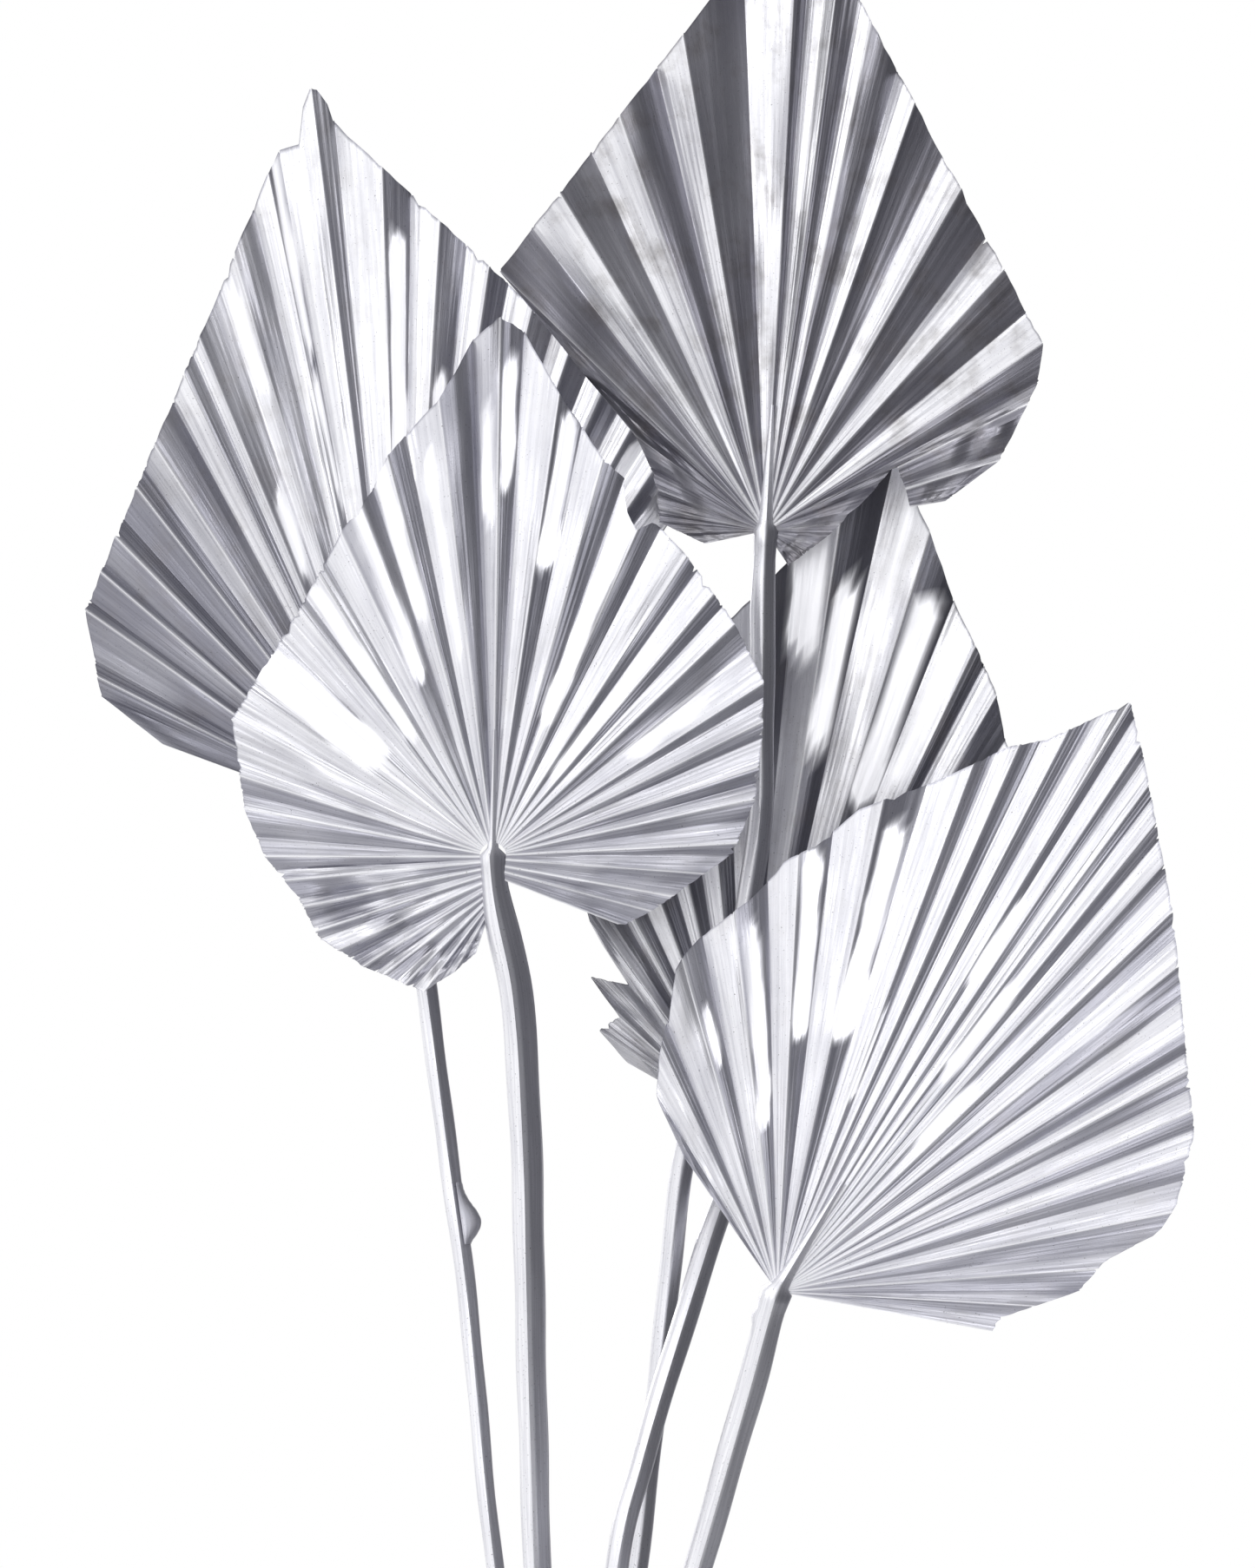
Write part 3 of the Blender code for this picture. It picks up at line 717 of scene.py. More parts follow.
        foot = roots[face][:, None] * (1 - t[..., None]) + roots[face + 1][:, None] * t[..., None]
        cut = row * (1 - nick[:, None] / np.linalg.norm(tip - foot, axis=2))
        spot = foot + (tip - foot) * cut[..., None]
        far = np.linalg.norm(spot, axis=2)
        slope = math.tan(math.radians(self.fold_slope)) / 2
        rise = sign * np.gradient(spaced) * chance.uniform(*self.rise_range, len(sign))
        rise *= at_angle(self.slope_share, degrees)
        low, high = rise[face][:, None] * slope * far, rise[face + 1][:, None] * slope * far
        lift = low * (1 - t) + high * t + self.bow(spot[..., 0], spot[..., 1])
        across, along = np.broadcast_arrays((face[:, None] + t) / count, row)
        swell = chance.uniform(*self.belly_range, count)[face][:, None]
        middle = np.broadcast_to((face[:, None] + 0.5) / count, along.shape)
        swell = swell + self.belly_wave * wobble(self.seed + 5, (count, 5), middle, along)
        lift += self.belly * swell * width * 4 * t * (1 - t) * soft_step(0.0, 0.3, row)
        crumple = np.where(degrees[face][:, None] < self.crinkle_angle, self.crumple, 1.0)
        # Long waves along each face, and lower and shorter ones across two
        for offset, cells, size, start, full in ((2, (count, 4), 1.0, 0.1, 0.6),
                                                 (3, (count // 2, 11), 0.4, 0.05, 0.5)):
            waves = wobble(self.seed + offset, cells, across, along) * soft_step(start, full, row)
            lift += crumple * size * self.wave * waves
        near = np.where(sign[face][:, None] > 0, t * width, (1 - t) * width)
        vein_highlight = np.exp(-(near / self.bead) ** 2)
        lift += self.bead_height * vein_highlight * soft_step(0.02, 0.25, row)
        spot, lift = self.rolled(spot, lift, far)
        # Painted shade: darker on faces turned from the light, on the folds at the base and at the margin's
        # edge, with random variation from face to face and along a face
        amount = self.painted_shade(angles, lean, sign, face, chance)[:, None]
        amount = amount + self.root_shade * (1 - soft_step(0.02, 0.30, row))
        amount = amount + self.film_patch * crumple * wobble(self.seed + 6, (count, 5), across, along)
        marks = np.ones((*lift.shape, 4))
        marks[..., 0] = vein_highlight * at_angle(self.vein_highlight_share, degrees[face])[:, None]
        marks[:, :-1, 1] = np.clip(amount, 0.0, 1.0)[:, :-1]
        # Painted highlight patches inside the pleats
        marks[..., 2] = self.highlit(degrees, spot, far, wobble(self.seed + 7, (count, 14), across, along))
        grain = np.stack(((face[:, None] + t) * self.column_grain, far), axis=-1)
        return np.stack((spot[..., 0], lift, spot[..., 1]), axis=-1), marks, grain

    def stretch(self, tips: np.ndarray) -> np.ndarray:
        """How far each column goes on to meet the margin between two folds.

        Args:
            tips: Ends of the columns on straight lines between the folds.

        Returns:
            Factor on the length of each column.
        """
        low, high = self.bearing(self.margin[0]), self.bearing(self.margin[-1])
        turn = np.clip(np.arctan2(tips[:, 0], tips[:, 1]), low, high)
        return np.array([np.linalg.norm(self.reach(float(a))) for a in turn]) / np.linalg.norm(tips, axis=1)

    def painted_shade(self, angles: np.ndarray, lean: float, sign: np.ndarray, face: np.ndarray,
            chance: np.random.Generator) -> np.ndarray:
        """How much painted shade each column's face gets.

        The light comes from the upper left, so faces to the lower right are
        painted darker.

        Args:
            angles: Fold angles in radians.
            lean: How far the leaf leans to the right, in radians.
            sign: +1 for a ridge, -1 for a valley.
            face: Face number of each column.
            chance: Source of the variation between faces.

        Returns:
            0 for a face towards the light to 1 for a face away from it.
        """
        middle = (angles[:-1] + angles[1:]) / 2
        toward = -sign[:-1] * (LIGHT_LEFT * np.cos(middle + lean) + LIGHT_UP * np.sin(middle + lean))
        amount = 0.5 - self.contrast * toward + chance.uniform(-self.film_stray, self.film_stray, len(middle))
        beyond = soft_step(self.shade_angle + self.shade_soft, self.shade_angle - self.shade_soft,
                           np.degrees(middle))
        amount += self.shade_depth * beyond * (toward < self.shade_turn)
        amount += at_angle(self.painted_shade_by_angle, np.degrees(middle))
        return np.clip(amount, 0.0, 1.0)[face]

    def rolled(self, spot: np.ndarray, lift: np.ndarray, far: np.ndarray) -> tuple[np.ndarray, np.ndarray]:
        """Roll up the ends of the pleats past the roll angle.

        Args:
            spot: Places in the flat plane.
            lift: Heights over it.
            far: Distances from the base.

        Returns:
            The places and heights with the roll.
        """
        angle = np.degrees(np.arctan2(spot[..., 0], spot[..., 1]))
        part = soft_step(self.roll_angle, self.roll_angle + self.roll_soft, angle)
        over = np.maximum(far - self.roll_start, 0.0) * part
        back = np.minimum(over / self.roll_radius, self.roll_turn)
        inward = over - self.roll_radius * np.sin(back)
        scale = 1 - np.where(far > 0, inward / np.maximum(far, 1e-6), 0.0)
        return spot * scale[..., None], lift + self.roll_radius * (1 - np.cos(back))

    def highlit(self, folds: np.ndarray, spot: np.ndarray, far: np.ndarray, stray: np.ndarray) -> np.ndarray:
        """How far each point lies inside a painted highlight patch.

        Args:
            folds: Fold angles in degrees.
            spot: Places in the flat plane.
            far: Distances from the base.
            stray: Random field that makes the edges uneven.

        Returns:
            0 outside to 1 inside, soft at the edges.
        """
        cover = np.zeros_like(far)
        bearing = np.degrees(np.arctan2(spot[..., 0], spot[..., 1]))
        for highlight in self.highlight_patches:
            own = int(np.clip(np.searchsorted(folds, highlight.angle) - 1, 0, len(folds) - 2))
            angle, half = highlight.angle, highlight.width / 2
            if not highlight.over:
                angle = (folds[own] + folds[own + 1]) / 2
                width = math.radians(folds[own + 1] - folds[own]) * (highlight.start + highlight.end) / 2
                half = min(half, self.highlight_room * width)
            across = np.radians(bearing - angle) * far
            past = np.maximum(np.maximum(highlight.start + half - far, far - highlight.end + half), 0.0)
            inside = half - np.hypot(across, self.highlight_blunt * past) + self.highlight_ragged * stray
            cover = np.maximum(cover, self.highlight_cover * soft_step(*self.highlight_edge, inside))
        return cover

    def build(self, skin: Skin, place: Matrix) -> None:
        """Add both faces and the edges of the sheet to a skin.

        Args:
            skin: Skin that gets the sheet.
            place: Matrix from the leaf's own frame to the model's.
        """
        turn, move = np.array(place.to_3x3()), np.array(place.translation)
        spots, marks, grain = self.surface(math.atan2(turn[0, 2], turn[2, 2]))
        sides = {}
        for side in Side:
            own = np.stack((spots[..., 0], -spots[..., 1] + side.value * self.thickness / 2,
                            spots[..., 2]), axis=-1)
            seen = marks * (1.0, 1.0, float(side is Side.FRONT), 1.0)
            sides[side] = skin.add(own @ turn.T + move, seen, grain)
            skin.grid(sides[side], flip=side is Side.BACK)
        front, back = sides[Side.FRONT], sides[Side.BACK]
        skin.grid(np.stack((back[:, 0], front[:, 0]), axis=1))
        skin.grid(np.stack((front[:, -1], back[:, -1]), axis=1))
        skin.grid(np.stack((front[0], back[0]), axis=0), flip=True)
        skin.grid(np.stack((front[-1], back[-1]), axis=0))


@dataclass
class Stalk:
    """The stem of one leaf with its knuckle and the rib on the blade's front.

    The route lists the points that the stem passes between the tie and the
    base of the blade. A scar has a height, an angle to the right in degrees
    and how far it stands out. The bend is 1 where the stem runs on into the
    blade's axis, and 0 where it meets it at an angle.
    """

    tie_place: tuple[float, float]
    tie_radius: float
    top_radius: float
    foot: float
    route: Places
    seed: int
    scar: tuple[float, float, float] | None = None
    scar_length: float = 0.0015
    scar_spread: float = 0.5     # round the stem, in radians
    bend: float = 1.0
    neck: float = 0.8            # part of the top radius that is left at the blade
    right_flat: float = 0.80     # place of the right-hand flat, as part of the radius
    rib_width: float = 0.75      # of the rib's foot, as part of the neck
    neck_length: float = 0.020
    tie_half: float = 0.0145     # straight stem above the tie's middle
    keel: float = 0.10           # how far it stands out, as part of the radius
    keel_spread: float = 0.5     # in radians
    back_round: float = 1.03     # radius of the round back, as part of the stem's
    left_tilt: float = -31.0     # degrees that the flats are turned from the front
    right_tilt: float = 42.0
    keel_start: float = 0.030
    keel_full: float = 0.090
    knuckle_swell: float = 0.0005
    knuckle_length: float = 0.003
    rib_length: float = 0.029
    rib_step: float = 0.0012     # length in which the neck narrows to the rib
    rib_tip: tuple[float, float] = (0.0004, 0.000546)   # half width and height of its tip
    rib_sink: float = 0.0002
    rib_seat: float = 2.2        # it lies full on the blade from 1 / this of its length
    rib_rings: int = 16
    rib_shade: float = 0.4         # part of the stem's painted shade that is left on the rib
    sides: int = 28
    steps: int = 12
    ridges: tuple[int, int] = (11, 17)   # coarse and fine fibre ridges round the stem
    ridge_depth: float = 0.00002
    fine_ridge: float = 0.6      # depth of the fine ones against the coarse
    waver: float = 0.00012       # how far the stem is out of round
    waver_rate: float = 190.0    # radians for each metre of height
    waver_skew: float = 1.7      # radians from the front to the sides
    cut_dish: float = 0.0004     # depth of the cut end's dish
    cut_rings: tuple[float, float] = (0.93, 0.5)   # and its rings, as part of the radius

    def line(self, place: Matrix) -> list[tuple[Vector, Vector, float]]:
        """Middle line from the cut end to the base of the blade.

        Args:
            place: Matrix of the blade.

        Returns:
            Points with their direction and radius.
        """
        axis = place.to_3x3() @ Vector((0.0, 0.0, 1.0))
        top = place.translation
        tie = Vector((*self.tie_place, 0.0))
        knots = [tie + Vector((0.0, 0.0, self.tie_half))] + [Vector(p) for p in self.route] + [top]
        slopes = [Vector((0.0, 0.0, (knots[1] - knots[0]).length))]
        slopes += [(knots[k + 1] - knots[k - 1]) / 2 for k in range(1, len(knots) - 1)]
        rise = knots[-1] - knots[-2]
        end = rise.normalized().lerp(axis, self.bend).normalized()
        slopes.append(end * rise.length)
        up = Vector((0.0, 0.0, 1.0))
        low = -self.foot
        found = [(tie + up * (low + (self.tie_half - low) * k / self.steps), up) for k in range(self.steps)]
        for a, b, da, db in zip(knots, knots[1:], slopes, slopes[1:]):
            for step in range(self.steps):
                t = step / self.steps
                spot = (a * (2 * t**3 - 3 * t**2 + 1) + da * (t**3 - 2 * t**2 + t)
                        + b * (3 * t**2 - 2 * t**3) + db * (t**3 - t**2))
                way = (a * (6 * t**2 - 6 * t) + da * (3 * t**2 - 4 * t + 1)
                       + b * (6 * t - 6 * t**2) + db * (3 * t**2 - 2 * t))
                found.append((spot, way.normalized()))
        found.append((top, end))
        return [(spot, way, self.thick(spot.z, top.z)) for spot, way in found]

    def thick(self, height: float, top: float) -> float:
        """Radius of the stem.

        Args:
            height: Where it is taken.
            top: Height of the blade's base.

        Returns:
            The radius there, with the neck and the knuckle under the blade.
        """
        part = min(max((height - self.tie_half) / (top - self.tie_half), 0.0), 1.0)
        radius = self.tie_radius + (self.top_radius - self.tie_radius) * part
        radius *= self.neck + (1 - self.neck) * float(soft_step(0.0, self.neck_length, top - height))
        return radius + self.knuckle_swell * math.exp(-((top - height) / self.knuckle_length) ** 2)

    def frame_of(self, way: Vector) -> tuple[Vector, Vector]:
        """Right and front of a stem that runs this way."""
        ahead = Vector((0.0, -1.0, 0.0))
        ahead = (ahead - way * way.dot(ahead)).normalized()
        return way.cross(ahead), ahead

    def section(self, sine: np.ndarray, cosine: np.ndarray, part: float) -> np.ndarray:
        """Shape of the stem's cross section, two flat sides that meet in a keel.

        Args:
            sine: Sine of each side's angle from the front.
            cosine: Cosine of it.
            part: How much of the full keel there is, 0 to 1.

        Returns:
            Radius at each side, as part of the stem's own.
        """
        angle = np.arctan2(sine, cosine)
        flats = [off / np.maximum(np.cos(angle - math.radians(turn)), 0.05)
                 for turn, off in ((self.left_tilt, 1.0), (self.right_tilt, self.right_flat))]
        round_ = self.back_round + self.keel * np.exp(-(angle / self.keel_spread) ** 2)
        return 1 + (np.minimum(np.minimum(*flats), round_) - 1) * part

    def rings(self, fan: PleatedFan, place: Matrix) -> tuple[np.ndarray, np.ndarray]:
        """Rings of the whole stalk from the cut end to the rib's tip.

        Args:
            fan: Blade that the rib lies on.
            place: Matrix of the blade.

        Returns:
            Points by ring and side, and the distance along of each ring.
        """
        angle = np.linspace(0.0, math.tau, self.sides, endpoint=False)
        sine, cosine = np.sin(angle), np.cos(angle)
        coarse, fine = self.ridges
        fibres = np.cos(coarse * angle + self.seed) + self.fine_ridge * np.cos(fine * angle + 2 * self.seed)
        rings, travel, last = [], [], None
        for spot, way, radius in self.line(place):
            right, ahead = self.frame_of(way)
            keel = float(soft_step(self.keel_start, self.keel_full, spot.z))
            out = radius * self.section(sine, cosine, keel) + self.ridge_depth * fibres
            out += self.waver * np.sin(spot.z * self.waver_rate + self.seed + self.waver_skew * sine)
            if self.scar:
                height, side, stand = self.scar
                turn = np.angle(np.exp(1j * (angle - math.radians(side))))
                stand *= math.exp(-((spot.z - height) / self.scar_length) ** 2)
                out += stand * np.exp(-(turn / self.scar_spread) ** 2)
            rings.append(np.array(spot) + np.outer(sine * out, right) + np.outer(cosine * out, ahead))
            travel.append(0.0 if last is None else travel[-1] + (spot - last).length)
            last = spot
        turn, move = np.array(place.to_3x3()), np.array(place.translation)
        shape = self.section(sine, cosine, 1.0)
        for k in range(1, self.rib_rings + 1):
            part = k / self.rib_rings
            along = self.rib_length * part
            narrow = self.rib_width + (1 - self.rib_width) * math.exp(-along / self.rib_step)
            foot = self.neck * self.top_radius * narrow
            half, deep = (foot * (1 - part) + tip * part for tip in self.rib_tip)
            sink = fan.crest(along) * min(part * self.rib_seat, 1.0) + self.rib_sink * part
            ring = np.stack((half * sine * shape, -(deep * cosine * shape + sink),
                             np.full_like(sine, along)), axis=-1)
            rings.append(ring @ turn.T + move)
            travel.append(travel[-1] + self.rib_length / self.rib_rings)
        return np.array(rings), np.array(travel)

    def build(self, skin: Skin, fan: PleatedFan, place: Matrix) -> None:
        """Add the stalk to a skin.

        Args:
            skin: Skin that gets the stalk.
            fan: Blade that the rib lies on.
            place: Matrix of the blade.
        """
        rings, travel = self.rings(fan, place)
        turn = np.arange(self.sides) / self.sides * math.tau
        marks = np.zeros((*rings.shape[:2], 4))
        # Painted shade on the side of the stem away from the light, less on the rib
        marks[..., 1] = SHADED_SIDE * soft_step(-0.1, 0.3, np.sin(turn))
        marks[-self.rib_rings:, :, 1] *= self.rib_shade
        marks[..., 3] = 1.0
        grain = np.stack(np.broadcast_arrays(turn[None, :] * self.tie_radius, travel[:, None]), axis=-1)
        ids = skin.add(rings, marks, grain)
        skin.grid(ids.T, closed=True)
        # The cut end is dished a little and shows the dry pith
        for end, depth, cut in ((0, self.cut_dish, 1.0), (-1, 0.0, 0.0)):
            middle = rings[end].mean(axis=0)
            inner = np.stack([middle + (rings[end] - middle) * size for size in self.cut_rings])
            inner[1, :, 2] += depth
            own = np.array((0.0, 0.0, cut, 1.0))
            face = skin.add(inner, np.tile(own, (2, self.sides, 1)), inner[..., :2] - middle[:2])
            hub = middle[None, :] + np.array((0.0, 0.0, depth))
            centre = int(skin.add(hub, own[None, :], np.zeros((1, 2)))[0])
            band = np.vstack((ids[end][None, :], face)).T
            skin.grid(band, flip=end == 0, closed=True)
            for k in range(self.sides):
                one, two = int(face[1, k]), int(face[1, (k + 1) % self.sides])
                skin.faces.append((two, one, centre) if end == 0 else (one, two, centre))


@dataclass
class DrySheath:
    """A scrap of papery sheath that stands off the right side of a stem."""

    bottom: float = 0.1884
    length: float = 0.0142
    proud: float = 0.0031
    gap: float = 0.0001          # clear of the stem's surface at its ends
    ragged: float = 0.00006
    root: float = 0.4            # where it leaves the stem, as part of the radius
    depth: tuple[float, float] = (0.2, 0.75)   # its middle and half depth, as part of the radius
    low_swell: float = 1.6       # more than 1 puts its widest place below the middle
    thin_ends: float = 1.3       # more than 1 lets its ends run out thin
    column_grain: float = 0.0006
    seed: int = 41
    steps: int = 28
    sides: int = 9

    def build(self, skin: Skin, stalk: Stalk, place: Matrix) -> None:
        """Add the sheath to a skin.

        Args:
            skin: Skin that gets the sheath.
            stalk: Stem that it clings to.
            place: Matrix of the leaf's blade.
        """
        line = stalk.line(place)
        chance = np.random.default_rng(self.seed)
        turns = np.linspace(-0.5, 0.5, self.sides) * math.pi
        rings = []
        for step in range(self.steps + 1):
            part = step / self.steps
            height = self.bottom + self.length * part
            low, high = next((a, b) for a, b in zip(line, line[1:]) if a[0].z <= height <= b[0].z)
            t = (height - low[0].z) / (high[0].z - low[0].z)
            spot, way = low[0].lerp(high[0], t), low[1].lerp(high[1], t).normalized()
            radius = low[2] + (high[2] - low[2]) * t
            right, ahead = stalk.frame_of(way)
            swell = math.sin(math.pi * (1 - part) ** self.low_swell) ** self.thin_ends
            far = radius + self.gap + self.proud * swell + chance.uniform(-self.ragged, self.ragged)
            near = self.root * radius
            middle, half = self.depth
            rings.append([tuple(spot + right * (near + (far - near) * math.cos(turn))
                                + ahead * (middle + half * math.sin(turn)) * radius) for turn in turns])
        # The whole sheath takes the stem's painted shade
        marks = np.tile((0.0, SHADED_SIDE, 0.0, 1.0), (self.steps + 1, self.sides, 1))
        grain = np.stack(np.broadcast_arrays(np.arange(self.sides)[None, :] * self.column_grain,
                                             np.linspace(0, self.length, self.steps + 1)[:, None]), axis=-1)
        ids = skin.add(np.array(rings), marks, grain)
        skin.tube(ids)


@dataclass
class PalmLeaf:
    """One leaf of the bunch: where its blade stands, its fan and its stalk."""

    name: str
    base: tuple[float, float, float]
    lean: float
    pitch: float
    turn: float
    fan: PleatedFan
    stalk: Stalk
    finish: SprayedLeaf
    scraps: tuple[PleatedFan, ...] = ()
    sheath: DrySheath | None = None

    def place(self) -> Matrix:
        """Matrix that stands the blade in the bunch."""
        turn = (Matrix.Rotation(math.radians(self.lean), 3, "Y")
                @ Matrix.Rotation(math.radians(self.pitch), 3, "X")
                @ Matrix.Rotation(math.radians(self.turn), 3, "Z"))
        return Matrix.Translation(self.base) @ turn.to_4x4()

    def build(self, stem: bpy.types.Material) -> None:
        """Make the leaf's pieces and hand them over to its body.

        Args:
            stem: Material of the stalk.
        """
        place, body = self.place(), f"{self.name}_leaf"
        blade = Skin.empty()
        for sheet in (self.fan, *self.scraps):
            sheet.build(blade, place)
        fan = blade.piece(f"{self.name}_fan", self.finish.build(), crease=24.0)
        hand_over(fan, body, Slot.LEAF, f"{self.name}_blade")
        wood = Skin.empty()
        self.stalk.build(wood, self.fan, place)
        stalk = wood.piece(f"{self.name}_stalk", stem, crease=50.0)
        hand_over(stalk, body, Slot.STEM, f"{self.name}_stem", f"{self.name}_knuckle", f"{self.name}_rib")
        if self.sheath:
            husk = Skin.empty()
            self.sheath.build(husk, self.stalk, place)
            scrap = husk.piece(f"{self.name}_husk", stem, crease=40.0)
            hand_over(scrap, body, Slot.STEM, f"{self.name}_sheath")


@dataclass
class TwineTie:
    """Six turns of three-strand jute twine round the stems."""

    stems: Places                # places and radii of the stems in the tie
    radius: float = 0.001
    turns: int = 6
    turn_gap: float = 0.0005
    grip_gap: float = 0.0003
    strands: int = 3
    lay: float = 0.0058          # length of one twist
    strand: float = 0.56         # radius of a strand, as part of the twine's
    spread: float = 1.02         # how far the strands stand apart
    swell: float = 0.06          # how far a strand's thickness varies
    swell_rate: float = 900.0    # radians for each metre
    swell_shift: float = 2.1     # radians from one strand to the next
    points: int = 72             # of the route in one turn
    passes: int = 6              # that smooth the route
    step: float = 0.00042        # between two rings
    sides: int = 10
    hairs: int = 220
    hair_lengths: tuple[float, float] = (0.0008, 0.0022)
    hair_radius: float = 0.00004
    hair_taper: float = 0.7      # part of that which is gone at the tip
    hair_root: float = 0.9       # where it starts, as part of the twine's radius
    hair_turn: float = 1.2       # largest turn round the twine from the outside, in radians
    hair_lean: float = 0.9       # largest lean along it, as part of the length
    seed: int = 7

    def route(self) -> np.ndarray:
        """Middle line of the twine, with both ends straight.

        Returns:
            Points along the twine.
        """
        rise = self.turns * (2 * self.radius + self.turn_gap)
        total, found = self.turns * self.points, []
        for k in range(total + 1):
            angle = math.tau * k / self.points
            out = np.array((math.cos(angle), math.sin(angle)))
            holds = [np.dot(stem[:2], out) + stem[2] for stem in self.stems]
            far = self.stems[int(np.argmax(holds))]
            spot = np.array(far[:2]) + out * (far[2] + self.grip_gap + self.radius)
            found.append((*spot, rise * (k / total - 0.5)))
        line = np.array(found)
        first, last = line[0] - line[1], line[-1] - line[-2]
        start = line[0] + first / np.linalg.norm(first) * 2 * self.radius
        end = line[-1] + last / np.linalg.norm(last) * 2 * self.radius
        line = np.vstack((start, line, end))
        step = np.append(0.0, np.cumsum(np.linalg.norm(np.diff(line, axis=0), axis=1)))
        even = np.arange(0.0, step[-1], self.step)
        return np.stack([np.interp(even, step, line[:, k]) for k in range(3)], axis=1)

    def build(self, finish: bpy.types.Material) -> None:
        """Make the twine and hand it over to the tie.

        Args:
            finish: Material of the twine.
        """
        line = self.route()
        for _ in range(self.passes):
            line[1:-1] = (line[:-2] + 2 * line[1:-1] + line[2:]) / 4
        way = np.gradient(line, axis=0)
        way /= np.linalg.norm(way, axis=1)[:, None]
        up = np.array((0.0, 0.0, 1.0))
        out = np.cross(way, up)
        out /= np.linalg.norm(out, axis=1)[:, None]
        over = np.cross(out, way)
        travel = np.append(0.0, np.cumsum(np.linalg.norm(np.diff(line, axis=0), axis=1)))
        skin = Skin.empty()
        thick = self.radius * self.strand
        round_ = np.linspace(0, math.tau, self.sides, endpoint=False)
        for strand in range(self.strands):
            twist = travel / self.lay * math.tau + strand * math.tau / self.strands
            reach = (self.radius - thick) * self.spread
            middle = line + (out * np.cos(twist)[:, None] + over * np.sin(twist)[:, None]) * reach
            swell = 1 + self.swell * np.sin(travel * self.swell_rate + strand * self.swell_shift)
            ring = (middle[:, None] + (out[:, None] * np.cos(round_)[None, :, None]
                    + over[:, None] * np.sin(round_)[None, :, None]) * (thick * swell)[:, None, None])
            marks = np.zeros((*ring.shape[:2], 4))
            grain = np.stack(np.broadcast_arrays(round_[None, :] * thick, travel[:, None]), axis=-1)
            ids = skin.add(ring, marks, grain)
            skin.tube(ids)
        self.add_hairs(skin, line, way, out, over)
        hand_over(skin.piece("twine_wrap", finish, crease=60.0), "tie", Slot.TWINE, "twine_tie")

    def add_hairs(self, skin: Skin, line: np.ndarray, way: np.ndarray, out: np.ndarray,
                  over: np.ndarray) -> None:
        """Add loose fibres that stand off the twine.

        Args:
            skin: Skin of the twine.
            line: Middle line.
            way: Direction along it.
            out: Direction away from the stems.
            over: Direction across both.
        """
        chance = np.random.default_rng(self.seed)
        for _ in range(self.hairs):
            k = int(chance.integers(2, len(line) - 2))
            turn = chance.uniform(-self.hair_turn, self.hair_turn)
            side = out[k] * math.cos(turn) + over[k] * math.sin(turn)
            lean = way[k] * chance.uniform(-self.hair_lean, self.hair_lean)
            length = chance.uniform(*self.hair_lengths)
            foot = line[k] + side * self.radius * self.hair_root
            rings = []
            for part in (0.0, 0.5, 1.0):
                spot = foot + (side * part + lean * part * part) * length
                size = self.hair_radius * (1 - self.hair_taper * part)
                rings.append([spot + (over[k] * math.cos(a) + way[k] * math.sin(a)) * size
                              for a in (0.0, math.tau / 3, 2 * math.tau / 3)])
            ring = np.array(rings)
            grain = np.zeros((3, 3, 2))
            grain[..., 0] = chance.uniform(0, 0.01)
            ids = skin.add(ring, np.zeros((3, 3, 4)), grain)
            skin.tube(ids)


@dataclass(frozen=True)
class Lamp:
    """A soft rectangular lamp of the studio."""

    name: str
    place: tuple[float, float, float]
    size: tuple[float, float]
    power: float
    aim: tuple[float, float, float] = (0.01, 0.0, 0.30)

    def build(self) -> None:
        """Hang the lamp and point it at its aim."""
        data = bpy.data.lights.new(self.name, "AREA")
        data.shape, data.size, data.size_y = "RECTANGLE", *self.size
        data.energy = self.power
        made = bpy.data.objects.new(self.name, data)
        made.location = self.place
        made.rotation_euler = (Vector(self.aim) - Vector(self.place)).to_track_quat("-Z", "Y").to_euler()
        bpy.context.scene.collection.objects.link(made)


